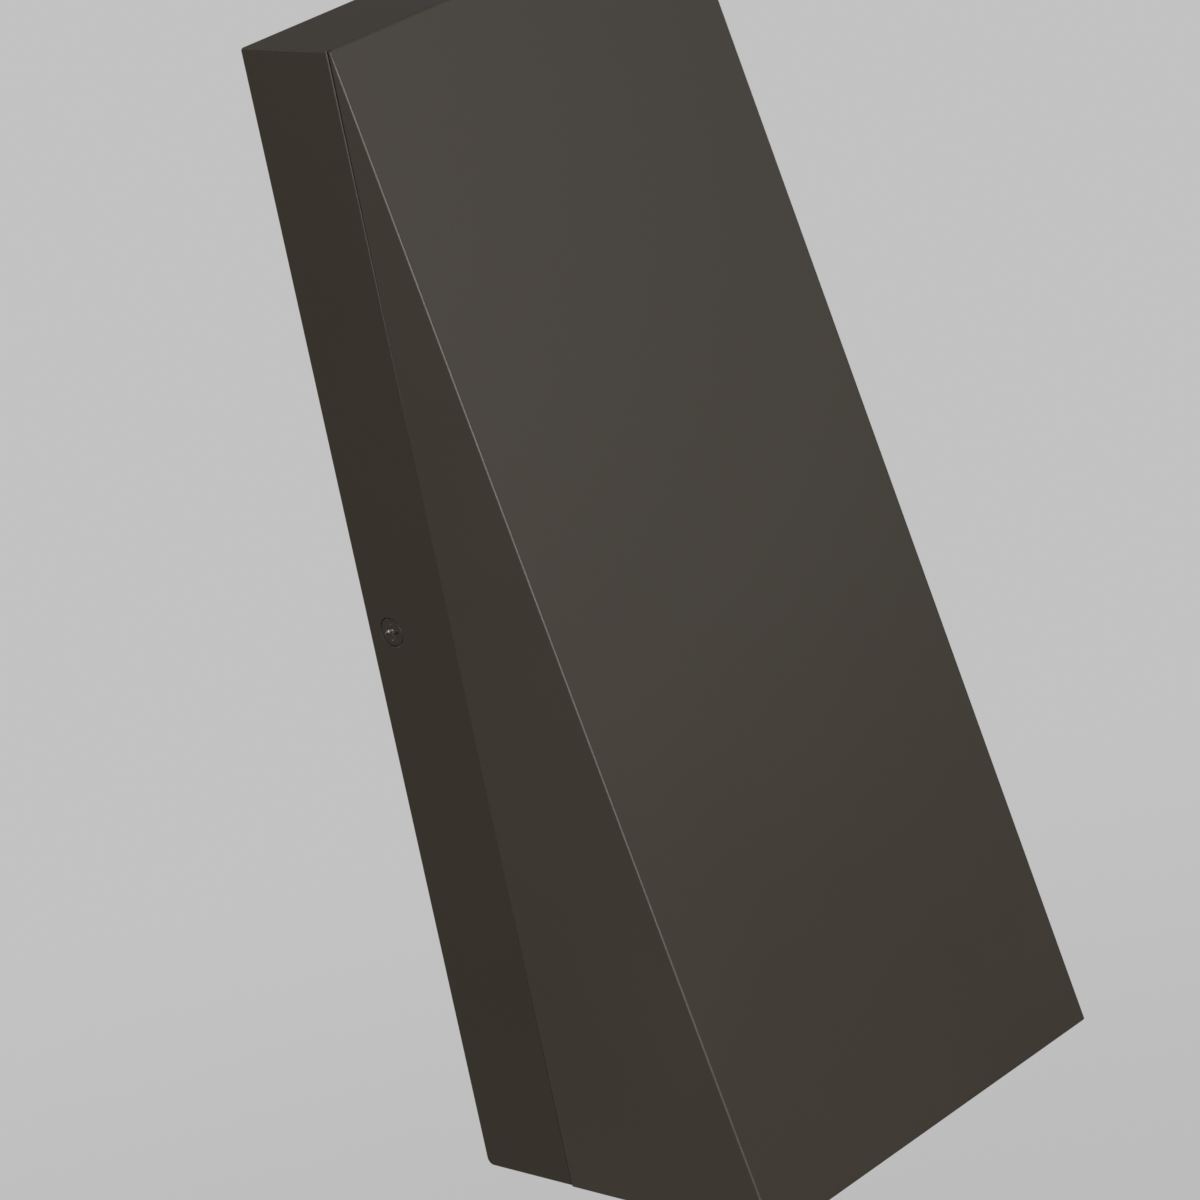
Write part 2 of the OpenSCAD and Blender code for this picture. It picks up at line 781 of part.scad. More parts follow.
// A round lead along a route with bends, as one closed tube.
module lead(corners, side, r = lead_r, bend = 4, sides = 10) {
    p = rounded_route(corners, bend);
    s = carried(p, len(p) - 1, unit(side - route_dir(p, 0) * (side * route_dir(p, 0))));
    n = len(p);
    points = [for (i = [0:n - 1]) let(d = route_dir(p, i), u = s[i], v = cross(d, u))
        for (k = [0:sides - 1]) p[i] + r * (cos(360 * k / sides) * u + sin(360 * k / sides) * v)];
    walls = [for (i = [0:n - 2], k = [0:sides - 1]) let(
        a = i * sides + k, b = i * sides + (k + 1) % sides) [b, a, a + sides, b + sides]];
    start = [[for (k = [0:sides - 1]) k]];
    end = [[for (k = [sides - 1:-1:0]) (n - 1) * sides + k]];
    polyhedron(points, concat(start, walls, end), convexity = 6);
}

// Three leads from the driver's upper end, through the grommet, to the terminals
module input_leads() {
    colours = [[0.1, 0.1, 0.1], [0.92, 0.92, 0.9], [0.2, 0.55, 0.25]];
    bottom = terminal_z - terminal_h / 2;
    for (i = [0:2]) color(colours[i]) {
        x = supply_x[i];
        lead([
            [x, lead_y, driver_high - 5], [x, lead_y, grommet_z], [x, tail_y, grommet_z],
            [poles[i], tail_y, bottom - 5], [poles[i], tail_y, bottom + lead_tail - 0.5]
        ], [1, 0, 0]);
    }
}

// Two leads from the driver's lower end, past the heat sink, to the LED board's connector
module output_leads() {
    colours = [[0.7, 0.12, 0.1], [0.1, 0.1, 0.1]];
    for (i = [0:1]) color(colours[i]) {
        x = led_lead_x[i];
        y = led_lead_y[i];
        z = board_z - connector_t / 2;
        lead([
            [x, lead_y, driver_low + 5], [x, lead_y, led_clip_z - 8 - led_lead_down[i]],
            [notch_x, y, fin_z + fin_h + 12 - led_lead_down[i]], [notch_x, y, z],
            [-board_half + 2, y, z]
        ], [1, 0, 0]);
    }
}

// Saddle on the housing's plate that holds leads lying side by side between two places across.
module lead_clip(x0, x1, z) {
    hole_r = lead_r + lead_play;
    wall = 1.4;
    half_h = 2.5;
    difference() {
        block([x0 - hole_r - wall, lead_y - hole_r - wall, z - half_h],
              [x1 + hole_r + wall, -housing_d, z + half_h]);
        for (x = [x0, x1]) translate([x, lead_y, z - half_h - cut])
            cylinder(r = hole_r, h = 2 * (half_h + cut));
        block([x0, lead_y - hole_r, z - half_h - cut], [x1, lead_y + hole_r, z + half_h + cut]);
    }
}

module lead_clips() {
    color([0.85, 0.85, 0.82]) {
        lead_clip(supply_x[0], supply_x[2], supply_clip_z);
        lead_clip(led_lead_x[0], led_lead_x[1], led_clip_z);
    }
}

// Soft bush in the heat sink's notch, with a hole for each lead.
module lead_bush() {
    color([0.08, 0.08, 0.08]) difference() {
        block([-sink_half, notch_y - notch_w / 2 + snug, sink_z - 1],
              [-sink_half + notch_depth - snug, notch_y + notch_w / 2 - snug, fin_z + 1]);
        for (y = led_lead_y) translate([notch_x, y, sink_z - 1 - cut])
            cylinder(r = lead_r + lead_play, h = sink_base_t + 2 + 2 * cut);
    }
}

// Driver

module driver_case() {
    inside = driver_w / 2 - driver_t;
    color([0.2, 0.2, 0.22]) difference() {
        union() {
            block([-driver_w / 2, driver_front + lid_t, driver_low],
                  [driver_w / 2, -housing_d, driver_high]);
            block([-driver_tab_w / 2, -housing_d - driver_tab_t, driver_low - driver_tab_l],
                  [driver_tab_w / 2, -housing_d, driver_high + driver_tab_l]);
        }
        block([-inside, driver_front, driver_low + driver_t],
              [inside, -housing_d - driver_t, driver_high - driver_t]);
        at_driver_screws()
            y_bar(small_d / 2 + screw_play, -housing_d + cut, -housing_d - driver_tab_t - cut);
        for (x = supply_x) translate([x, lead_y, driver_high - driver_t - cut])
            cylinder(r = lead_r + lead_play, h = driver_t + 2 * cut);
        for (x = led_lead_x) translate([x, lead_y, driver_low - cut])
            cylinder(r = lead_r + lead_play, h = driver_t + 2 * cut);
    }
}

// Lid with a shallow step that drops between the case's walls
module driver_lid() {
    in = driver_t + 0.2;
    step = 1.5;
    color([0.16, 0.16, 0.18]) union() {
        block([-driver_w / 2, driver_front, driver_low],
              [driver_w / 2, driver_front + lid_t, driver_high]);
        block([in - driver_w / 2, driver_front + lid_t, driver_low + in],
              [driver_w / 2 - in, driver_front + lid_t + step, driver_high - in]);
    }
}

// Board on four stub feet that stand on the case's floor
module driver_board() {
    half = driver_w / 2 - driver_t - 1;
    ends = [driver_low + circuit_end, driver_high - circuit_end];
    foot = 3;
    color([0.1, 0.35, 0.18]) union() {
        block([-half, circuit_face, ends[0]], [half, circuit_y, ends[1]]);
        for (x = [-1, 1], z = [ends[0] + foot, ends[1] - foot])
            translate([x * (half - foot), 0, z]) y_bar(foot / 2, circuit_y, -housing_d - driver_t);
    }
}

// Core with a winding window let into each side
module driver_transformer() {
    color([0.75, 0.6, 0.2])
        translate([0, circuit_face - core_t / 2, (driver_low + driver_high) / 2]) difference() {
            cube([core_w, core_t, core_w], center = true);
            for (s = [-1, 1]) translate([s * core_w / 2, 0, 0])
                cube([2 * core_window_deep, core_window_t, core_window_h], center = true);
        }
}

module driver_capacitors() {
    up = circuit_end + capacitor_end;
    color([0.15, 0.17, 0.3])
        for (z = [driver_low + up, driver_high - up], x = [-capacitor_x, capacitor_x])
            translate([x, 0, z]) y_bar(capacitor_r, circuit_face, circuit_face - capacitor_l);
}

module driver_screws() {
    color(zinc) at_driver_screws() pan_screw(-housing_d - driver_tab_t, plate_y + boss_h - 0.5);
}

// Light module

// Side profile of the heat sink above its base plate: the fins, drawn as depth and height.
module fins_profile() {
    for (i = [0:fin_count - 1])
        translate([fin_first - fin_pitch * i - fin_t / 2, fin_z - cut / 2])
            square([fin_t, fin_h + cut / 2]);
}

module heat_sink() {
    color([0.62, 0.63, 0.65]) difference() {
        union() {
            across(2 * sink_half) union() {
                translate([sink_front, sink_z]) square([sink_back - sink_front, sink_base_t]);
                fins_profile();
            }
            block([-sink_flange_half, sink_back - cut, sink_z], [sink_flange_half, -housing_d, fin_z]);
            block([-sink_flange_half, sink_back, sink_z],
                  [sink_flange_half, -housing_d, sink_z + sink_flange_h]);
        }
        at_sink_screws() y_bar(small_d / 2 + screw_play, -housing_d + cut, sink_back - cut);
        at_posts() translate([0, 0, sink_z - cut])
            cylinder(r = small_d / 2 + snug, h = sink_base_t + 2 * cut);
        at_board_screws() translate([0, 0, sink_z - cut])
            cylinder(r = small_d / 2 + snug, h = sink_base_t - 0.5 + cut);
        block([-sink_half - cut, notch_y - notch_w / 2, sink_z - cut],
              [-sink_half + notch_depth, notch_y + notch_w / 2, fin_z + fin_h + cut]);
        at_posts() translate([0, 0, fin_z]) cylinder(r = post_r + 1.5, h = fin_h + cut);
    }
}

module heat_sink_screws() {
    color(zinc) at_sink_screws() pan_screw(sink_back, plate_y + boss_h - 0.5);
}

module thermal_pad() {
    color([0.75, 0.78, 0.85]) difference() {
        block([-board_half + 0.5, module_y - board_d / 2 + 0.5, pad_z],
              [board_half - 0.5, module_y + board_d / 2 - 0.5, sink_z]);
        at_board_screws() translate([0, 0, pad_z - cut])
            cylinder(r = small_d / 2 + 0.7, h = thermal_pad_t + 2 * cut);
    }
}

module led_board() {
    color([0.92, 0.92, 0.9]) difference() {
        block([-board_half, module_y - board_d / 2, board_z],
              [board_half, module_y + board_d / 2, pad_z]);
        at_board_screws() translate([0, 0, board_z - cut])
            cylinder(r = small_d / 2 + screw_play, h = led_board_t + 2 * cut);
    }
}

module led_chips() {
    row = window_d / 2 - 9.5;
    start = -(leds_per_row - 1) / 2 * led_pitch;
    color([0.98, 0.9, 0.55]) for (i = [0:leds_per_row - 1], y = [-row, row])
        translate([start + i * led_pitch, module_y + y, board_z - 0.4])
            cube([led_w, led_w, 0.8], center = true);
}

module board_screws() {
    color(zinc) at_board_screws() translate([0, 0, board_z]) difference() {
        union() {
            translate([0, 0, -small_head_t]) cylinder(d = small_head_d, h = small_head_t);
            cylinder(d = small_d, h = fin_z - 1 - board_z);
        }
        translate([0, 0, -small_head_t]) upward_cross();
    }
}

module lead_connector() {
    color([0.93, 0.93, 0.9]) difference() {
        block([-board_half, notch_y - connector_w / 2, board_z - connector_t],
              [-board_half + connector_l, notch_y + connector_w / 2, board_z]);
        for (y = led_lead_y) translate([-board_half - cut, y, board_z - connector_t / 2])
            rotate([0, 90, 0]) cylinder(r = lead_r + lead_play, h = 3 + cut);
    }
}

// A straight-sided frame that narrows upwards: four tilted walls cut out of one block.
module reflector() {
    lean = 2.5;
    low_w = window_w / 2;
    low_d = window_d / 2;
    color([0.96, 0.96, 0.95]) difference() {
        block([-low_w - reflector_t, module_y - low_d - reflector_t, reflector_z],
              [low_w + reflector_t, module_y + low_d + reflector_t, board_z]);
        intersection() {
            across(3 * low_w) polygon([
                [module_y - low_d - lean * cut / reflector_h, reflector_z - cut],
                [module_y + low_d + lean * cut / reflector_h, reflector_z - cut],
                [module_y + low_d - lean * (1 + cut / reflector_h), board_z + cut],
                [module_y - low_d + lean * (1 + cut / reflector_h), board_z + cut]
            ]);
            translate([0, module_y + 2 * low_d, 0]) rotate([90, 0, 0]) linear_extrude(4 * low_d)
                polygon([
                    [-low_w - lean * cut / reflector_h, reflector_z - cut],
                    [low_w + lean * cut / reflector_h, reflector_z - cut],
                    [low_w - lean * (1 + cut / reflector_h), board_z + cut],
                    [-low_w + lean * (1 + cut / reflector_h), board_z + cut]
                ]);
        }
    }
}

module diffuser() {
    color([0.93, 0.94, 0.93, 0.8]) translate([0, module_y, glass_z])
        linear_extrude(diffuser_t) round_plate(glass_w, glass_d, 2);
}

module diffuser_gasket() {
    color(silicone) translate([0, module_y, frame_z + lip_t]) linear_extrude(diffuser_gasket_t)
        difference() {
            round_plate(glass_w, glass_d, 2);
            round_plate(window_w + 0.6, window_d + 0.6, 1);
        }
}

// Flat frame in the wedge's mouth: its lip carries the diffuser, and four screws hold it up.
module lens_frame() {
    rebate_w = glass_w + 2 * glass_gap;
    rebate_d = glass_d + 2 * glass_gap;
    mouth_r = small_head_d / 2 + cut + seat_gap;
    color(bronze * 0.8) difference() {
        intersection() {
            block([-frame_half, -body_d, frame_z], [frame_half, -housing_d - seal_w, frame_top]);
            across(2 * frame_half) cover_space(seal_w);
        }
        translate([0, module_y, frame_z - cut]) linear_extrude(frame_t + 2 * cut)
            round_plate(window_w, window_d, 1);
        translate([0, module_y, frame_z + lip_t]) linear_extrude(frame_t)
            round_plate(rebate_w, rebate_d, 2);
        at_posts() translate([0, 0, frame_z - cut]) {
            cylinder(r = small_d / 2 + screw_play, h = frame_t + 2 * cut);
            cylinder(r1 = mouth_r, r2 = 0, h = mouth_r);
        }
    }
}

// Post with a tapped foot for the frame's screw and a threaded stub up into the heat sink
module frame_posts() {
    color(zinc) at_posts() difference() {
        union() {
            translate([0, 0, frame_top]) cylinder(r = post_r, h = sink_z - frame_top);
            translate([0, 0, sink_z]) cylinder(d = small_d, h = sink_base_t);
        }
        translate([0, 0, frame_top - cut]) cylinder(r = small_d / 2 + snug, h = 8 + cut);
    }
}

module frame_screws() {
    head = small_head_d / 2;
    color(bronze * 0.9) at_posts() translate([0, 0, frame_z]) difference() {
        union() {
            cylinder(r1 = head, r2 = small_d / 2, h = head - small_d / 2);
            cylinder(d = small_d, h = frame_t + 7);
        }
        upward_cross();
    }
}

// Silicone strip that fills the space between the lens frame and the walls round it
module frame_seal() {
    color(silicone) difference() {
        intersection() {
            block([-cover_half + seal_gap, -body_d, frame_z + 0.5],
                  [cover_half - seal_gap, -housing_d - seal_gap, frame_top - 0.5]);
            across(2 * cover_half) cover_space(seal_gap);
        }
        intersection() {
            block([-frame_half - snug, -body_d, frame_z - cut],
                  [frame_half + snug, -housing_d - seal_w + snug, frame_top + cut]);
            across(2 * body_w) cover_space(seal_w - snug);
        }
    }
}

rear_housing();
wedge_cover();
cover_gasket();
cover_screws();
cover_nuts();
wall_bracket();
wall_gasket();
ear_nuts();
left_side_screw();
right_side_screw();
ground_screw();
ground_washer();
terminal_block();
terminal_clamps();
terminal_block_screws();
lead_grommet();
breather_vent();
breather_nut();
driver_case();
driver_lid();
driver_board();
driver_transformer();
driver_capacitors();
driver_screws();
input_leads();
output_leads();
lead_clips();
lead_bush();
heat_sink();
heat_sink_screws();
thermal_pad();
led_board();
led_chips();
board_screws();
lead_connector();
reflector();
diffuser();
diffuser_gasket();
lens_frame();
frame_posts();
frame_screws();
frame_seal();
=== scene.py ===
"""Looks of a wedge-shaped outdoor wall light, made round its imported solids.

X runs across, Y runs into the wall and Z points up, as in the solids. Sizes in this file are in
millimetres, and they become metres when a mesh is made.
"""

import logging
import math
from dataclasses import dataclass, field, replace
from enum import Enum

import bmesh
import bpy
import numpy as np
from mathutils import Matrix, Vector, geometry


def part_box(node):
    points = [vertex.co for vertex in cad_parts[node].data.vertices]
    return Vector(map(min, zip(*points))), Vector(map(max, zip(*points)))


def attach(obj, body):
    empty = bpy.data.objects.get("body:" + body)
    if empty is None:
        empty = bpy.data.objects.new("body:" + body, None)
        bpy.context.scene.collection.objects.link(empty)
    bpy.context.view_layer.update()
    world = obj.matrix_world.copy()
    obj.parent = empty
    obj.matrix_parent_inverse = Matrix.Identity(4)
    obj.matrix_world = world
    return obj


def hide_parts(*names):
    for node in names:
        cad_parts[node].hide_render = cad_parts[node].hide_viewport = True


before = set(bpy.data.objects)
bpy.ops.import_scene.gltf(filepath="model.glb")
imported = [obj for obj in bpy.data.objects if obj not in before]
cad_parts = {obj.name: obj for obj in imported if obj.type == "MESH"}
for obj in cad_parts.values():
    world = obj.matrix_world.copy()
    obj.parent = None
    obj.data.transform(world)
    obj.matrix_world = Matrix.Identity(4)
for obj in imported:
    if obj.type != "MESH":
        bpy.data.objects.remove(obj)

LOG = logging.getLogger("wall_light")
MM = 0.001
FULL_TURN = 2 * math.pi
SLEEVE_COLOUR = "sleeve"
ROUND_SHARP = 50
CRISP_SHARP = 30
SCREW_SHARP = 60
WHITE = (1, 1, 1, 1)
Colour = tuple[float, float, float]


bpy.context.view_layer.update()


# Shader arithmetic


class Wire:
    """One number or colour inside a material. Python's operators add Math nodes to it."""

    def __init__(self, graph: "Graph", socket: bpy.types.NodeSocket) -> None:
        """Keeps the graph that the socket belongs to."""
        self.graph = graph
        self.socket = socket

    def _math(self, operation: str, *values: "Wire | float") -> "Wire":
        """Adds one Math node.

        Args:
            operation: the Math node's operation.
            values: its inputs, in order.

        Returns:
            The node's result.
        """
        return self.graph.add("ShaderNodeMath", {"operation": operation}, dict(enumerate(values)))

    def __add__(self, other: "Wire | float") -> "Wire":
        """Returns the sum."""
        return self._math("ADD", self, other)

    def __sub__(self, other: "Wire | float") -> "Wire":
        """Returns this number less the other."""
        return self._math("SUBTRACT", self, other)

    def __rsub__(self, other: "Wire | float") -> "Wire":
        """Returns the other number less this one."""
        return self._math("SUBTRACT", other, self)

    def __mul__(self, other: "Wire | float") -> "Wire":
        """Returns the product."""
        return self._math("MULTIPLY", self, other)

    def __truediv__(self, other: "Wire | float") -> "Wire":
        """Returns this number divided by the other."""
        return self._math("DIVIDE", self, other)

    __radd__ = __add__
    __rmul__ = __mul__

    def step(self, low: float, high: float) -> "Wire":
        """Rises smoothly from 0 to 1 as this number goes from low to high, or falls if low > high.

        Args:
            low: the number at which the result is 0.
            high: the number at which the result is 1.

        Returns:
            The result, from 0 to 1.
        """
        return self.graph.add(
            "ShaderNodeMapRange", {"interpolation_type": "SMOOTHSTEP", "clamp": True},
            {"Value": self, "From Min": low, "From Max": high})

    def size(self) -> "Wire":
        """Returns the number without its sign."""
        return self._math("ABSOLUTE", self)

    def off_centre(self, pitch: float) -> "Wire":
        """Returns the signed distance from the middle of the nearest cell of a row.

        Args:
            pitch: the width of a cell. Cells meet at 0.

        Returns:
            The distance, from minus half a pitch to half a pitch.
        """
        return (self._math("FRACT", self / pitch) - 0.5) * pitch

    def port(self, name: str) -> "Wire":
        """Returns another output of the node that this number comes from."""
        return Wire(self.graph, self.socket.node.outputs[name])


class Graph:
    """The nodes of one material."""

    def __init__(self, name: str) -> None:
        """Makes a material with its plain surface shader.

        Args:
            name: the material's name.
        """
        self.material = bpy.data.materials.new(name)
        self.material.use_nodes = True
        self.tree = self.material.node_tree
        self.shader = self.tree.nodes["Principled BSDF"]

    @classmethod
    def over(cls, holder: bpy.types.World) -> "Graph":
        """Opens the graph of something that has nodes already.

        Args:
            holder: what has the nodes, such as the world.

        Returns:
            Its graph, with no surface shader.
        """
        graph = cls.__new__(cls)
        graph.material, graph.tree, graph.shader = None, holder.node_tree, None
        return graph

    def add(self, kind: str, settings: dict | None = None, sockets: dict | None = None,
            output: int | str | None = 0) -> Wire | None:
        """Adds one node.

        Args:
            kind: the node's type.
            settings: its settings, which are made first.
            sockets: values or wires for its inputs, by name or number.
            output: which output is returned, or None for a node that has none.

        Returns:
            That output.
        """
        node = self.tree.nodes.new(kind)
        for key, value in (settings or {}).items():
            setattr(node, key, value)
        for key, value in (sockets or {}).items():
            self.feed(node.inputs[key], value)
        return None if output is None else Wire(self, node.outputs[output])

    def feed(self, socket: bpy.types.NodeSocket, value: "Wire | float | tuple") -> None:
        """Links a wire to a socket, or sets a number or colour on it.

        Args:
            socket: a node's input.
            value: what goes into it.
        """
        if isinstance(value, Wire):
            self.tree.links.new(value.socket, socket)
        else:
            socket.default_value = value

    def surface(self, **sockets: "Wire | float | tuple") -> None:
        """Sets the shader's inputs. A name's low line stands for a space."""
        for key, value in sockets.items():
            self.feed(self.shader.inputs[key.replace("_", " ")], value)

    def place(self, stretch: tuple[float, float, float] = (1, 1, 1)) -> Wire:
        """Tells where on the object a point is.

        Args:
            stretch: what each axis is divided by, which draws a pattern out along it.

        Returns:
            The point, in millimetres.
        """
        point = self.add("ShaderNodeTexCoord", output="Object")
        scale = tuple(1 / (MM * part) for part in stretch)
        return self.add("ShaderNodeMapping", None, {"Vector": point, "Scale": scale})

    def axes(self) -> tuple[Wire, Wire, Wire]:
        """Returns the point's three coordinates in millimetres."""
        split = self.add("ShaderNodeSeparateXYZ", None, {"Vector": self.place()})
        return split, split.port("Y"), split.port("Z")

    def noise(self, cell: float, detail: float = 2,
              stretch: tuple[float, float, float] = (1, 1, 1)) -> Wire:
        """Cloudy noise about one half.

        Args:
            cell: the size of one cloud, in millimetres.
            detail: how many finer layers it has.
            stretch: how far the clouds are drawn out along each axis.

        Returns:
            A number from 0 to 1.
        """
        return self.add("ShaderNodeTexNoise", None,
                        {"Vector": self.place(stretch), "Scale": 1 / cell, "Detail": detail})

    def spots(self, cell: float, radius: float) -> Wire:
        """Rare round spots, one centre in each cube of space.

        Args:
            cell: the side of that cube, in millimetres.
            radius: the largest radius of a spot, in millimetres.

        Returns:
            1 in the middle of a spot and 0 outside it.
        """
        distance = self.add("ShaderNodeTexVoronoi", {"feature": "F1"},
                            {"Vector": self.place(), "Scale": 1 / cell}, "Distance")
        return distance.step(radius / cell, 0.4 * radius / cell)

    def mix(self, amount: Wire | float, first: Wire | Colour, second: Wire | Colour) -> Wire:
        """Mixes two colours.

        Args:
            amount: the share of the second colour.
            first: the colour where the amount is 0.
            second: the colour where it is 1.

        Returns:
            The mixed colour.
        """
        colours = [c if isinstance(c, Wire) else (*c, 1) for c in (first, second)]
        return self.add("ShaderNodeMix", {"data_type": "RGBA"},
                        {0: amount, 6: colours[0], 7: colours[1]}, 2)

    def relief(self, height: Wire) -> Wire:
        """Returns the normal of a surface raised by that many millimetres."""
        return self.add("ShaderNodeBump", None, {"Height": height, "Strength": 1.0, "Distance": MM})


def shade(colour: Colour, factor: float) -> Colour:
    """Returns the colour made lighter or darker by a factor."""
    return tuple(min(1.0, part * factor) for part in colour)


# Finishes

MADE: dict["Finish", bpy.types.Material] = {}


@dataclass(frozen=True)
class Finish:
    """A finish of the light. Its material is made when it is first asked for."""

    slot: str
    colour: Colour
    roughness: float

    def material(self) -> bpy.types.Material:
        """Makes the material once and keeps it.

        Returns:
            The finish's material.
        """
        if self not in MADE:
            graph = Graph(self.slot + "_look")
            self.dress(graph)
            MADE[self] = graph.material
        return MADE[self]

    def dress(self, graph: Graph) -> None:
        """Adds the finish's nodes to a new material's graph."""
        raise NotImplementedError


@dataclass(frozen=True)
class PowderCoat(Finish):
    """Satin powder coat: a fine pebbled grain, slow clouds of tone and a few dust specks."""

    grain: float = 0.004
    cloud_cell: float = 45.0
    grain_cell: float = 0.45
    pebble_cell: float = 1.3
    speck_cell: float = 9.0
    speck_r: float = 0.28
    # how dark the dust specks and the painted shade make the coat, as a share of its colour
    speck_and_shade_dark: float = 0.2

    def painted_shade(self, graph: Graph) -> Wire | float:
        """Returns where painted shade darkens the coat, from 0 to 1; a plain coat has none."""
        return 0.0

    def dress(self, graph: Graph) -> None:
        """Lays the tone, the grain, the dust specks and the painted shade over each other.

        Args:
            graph: the new material's nodes.
        """
        clouds = graph.noise(self.cloud_cell, 2) - 0.5
        fine = graph.noise(self.grain_cell, 3)
        pebbles = graph.noise(self.pebble_cell, 2)
        specks = graph.spots(self.speck_cell, self.speck_r)
        # dust specks, plus painted shade where a coat darkens its gaps and recesses
        specks_and_shade = specks * 0.4 + self.painted_shade(graph)
        share = clouds * 0.5 + fine * 0.6 + 0.2
        tone = graph.mix(share, shade(self.colour, 0.9), shade(self.colour, 1.1))
        graph.surface(
            Base_Color=graph.mix(specks_and_shade, tone, shade(self.colour, self.speck_and_shade_dark)),
            Roughness=self.roughness + clouds * 0.06 + specks_and_shade * 0.45,
            Normal=graph.relief(fine * self.grain + pebbles * (1.6 * self.grain) - specks * 0.03))


@dataclass(frozen=True)
class HousingCoat(PowderCoat):
    """The housing's coat, darkened with painted shade in the seam's gap and in the seats of the side
    screws.
    """

    side: float = 63.8
    front: float = -30.3
    seat: float = -8.0
    seat_r: float = 4.2
    sunk: tuple[float, float] = (0.04, 0.14)
    gap: tuple[float, float] = (0.14, 0.06)

    def painted_shade(self, graph: Graph) -> Wire:
        """Finds where painted shade goes: just inside the sides, by the seam and round the screws' axis.

        Args:
            graph: the new material's nodes.

        Returns:
            Where painted shade darkens the coat, from 0 to 1.
        """
        across, depth, up = graph.axes()
        inside = across.size().step(self.side - self.sunk[0], self.side - self.sunk[1])
        gap = depth.step(self.front + self.gap[0], self.front + self.gap[1])
        away = depth - self.seat
        round_screw = (away * away + up * up).step(self.seat_r ** 2, self.seat_r ** 2 - 1)
        # painted shade: the coat is darkened in the seam's gap and in the screws' seats
        return inside * (gap + round_screw)


@dataclass(frozen=True)
class Plating(Finish):
    """Bright metal with drawn lines, dull patches and fine handling scratches."""

    lines: tuple[float, float, float] = (14, 1, 1)
    line_cell: float = 0.35
    patch_cell: float = 7.0
    scratch_cell: float = 0.5
    scratch_stretch: tuple[float, float, float] = (1.5, 1.5, 22)

    def dress(self, graph: Graph) -> None:
        """Lays drawn lines, patches and scratches over the metal.

        Args:
            graph: the new material's nodes.
        """
        drawn = graph.noise(self.line_cell, 3, self.lines)
        patches = graph.noise(self.patch_cell, 3)
        scratches = graph.noise(self.scratch_cell, 2, self.scratch_stretch).step(0.66, 0.74)
        tint = graph.mix(patches.step(0.35, 0.65), shade(self.colour, 0.86), shade(self.colour, 1.08))
        graph.surface(
            Metallic=1.0,
            Base_Color=graph.mix(scratches * 0.35, tint, shade(self.colour, 1.3)),
            Roughness=self.roughness + (drawn - 0.5) * 0.16 + (patches - 0.5) * 0.18,
            Normal=graph.relief(drawn * 0.003 - scratches * 0.004))


@dataclass(frozen=True)
class WornCoat(Finish):
    """Coated steel screw: satin coat, rubbed bright in the recess and on the thread."""

    bare: Colour = (0.42, 0.4, 0.37)
    side: float = 63.65
    end: float = -144.7
    sunk: tuple[float, float] = (0.3, 0.5)
    fine_cell: float = 0.25
    rub_cell: float = 0.5

    def dress(self, graph: Graph) -> None:
        """Lets bare metal through below the heads' faces, at the sides and at the lower end.

        Args:
            graph: the new material's nodes.
        """
        fine = graph.noise(self.fine_cell, 3)
        across, _, up = graph.axes()
        least, most = self.sunk
        inside = across.size().step(self.side - least, self.side - most)
        above = up.step(self.end + least, self.end + most)
        rubbed = graph.noise(self.rub_cell, 3).step(0.45, 0.6) * (inside * above)
        coat = graph.mix(fine, shade(self.colour, 0.8), shade(self.colour, 1.2))
        graph.surface(
            Base_Color=graph.mix(rubbed, coat, self.bare),
            Metallic=rubbed * 0.9,
            Roughness=self.roughness + (fine - 0.5) * 0.2,
            Normal=graph.relief(fine * 0.006 - rubbed * 0.004))


@dataclass(frozen=True)
class Foam(Finish):
    """Cut closed-cell foam: small open cells all over and slow unevenness."""

    cell: float = 0.6
    wave_cell: float = 5.0

    def dress(self, graph: Graph) -> None:
        """Sinks the cells and darkens them with painted shade.

        Args:
            graph: the new material's nodes.
        """
        wall = graph.add("ShaderNodeTexVoronoi", {"feature": "DISTANCE_TO_EDGE"},
                         {"Vector": graph.place(), "Scale": 1 / self.cell}, "Distance")
        cells = wall.step(0.02, 0.3)
        graph.surface(
            # the sunk cells are darkened with painted shade
            Base_Color=graph.mix(cells, shade(self.colour, 1.7), shade(self.colour, 0.7)),
            Roughness=self.roughness - cells * 0.1,
            Normal=graph.relief(graph.noise(self.wave_cell, 2) * 0.12 - cells * 0.08))


@dataclass(frozen=True)
class Moulded(Finish):
    """Moulded plastic, rubber or silicone: an even spark texture, faint flow lines and marks."""

    texture: float = 0.012
    grain: float = 0.5
    body: float = 0.0
    flow_cell: float = 9.0
    flow_stretch: tuple[float, float, float] = (1, 1, 3)
    dust_cell: float = 5.0
    dust_r: float = 0.22
    dust_colour: Colour = (0.3, 0.29, 0.27)
    light_reach: float = 2.0

    def dress(self, graph: Graph) -> None:
        """Adds the mould's texture and the flow of the material.

        Args:
            graph: the new material's nodes.
        """
        spark = graph.noise(self.grain, 2)
        flow = graph.noise(self.flow_cell, 3, self.flow_stretch)
        dust = graph.spots(self.dust_cell, self.dust_r)
        tone = graph.mix(flow, shade(self.colour, 0.9), shade(self.colour, 1.08))
        graph.surface(
            Base_Color=graph.mix(dust * 0.4, tone, self.dust_colour),
            Roughness=self.roughness + (spark - 0.5) * 0.2 + dust * 0.2,
            Subsurface_Weight=self.body,
            Subsurface_Scale=self.light_reach * MM,
            Normal=graph.relief(spark * self.texture + flow * 0.02))


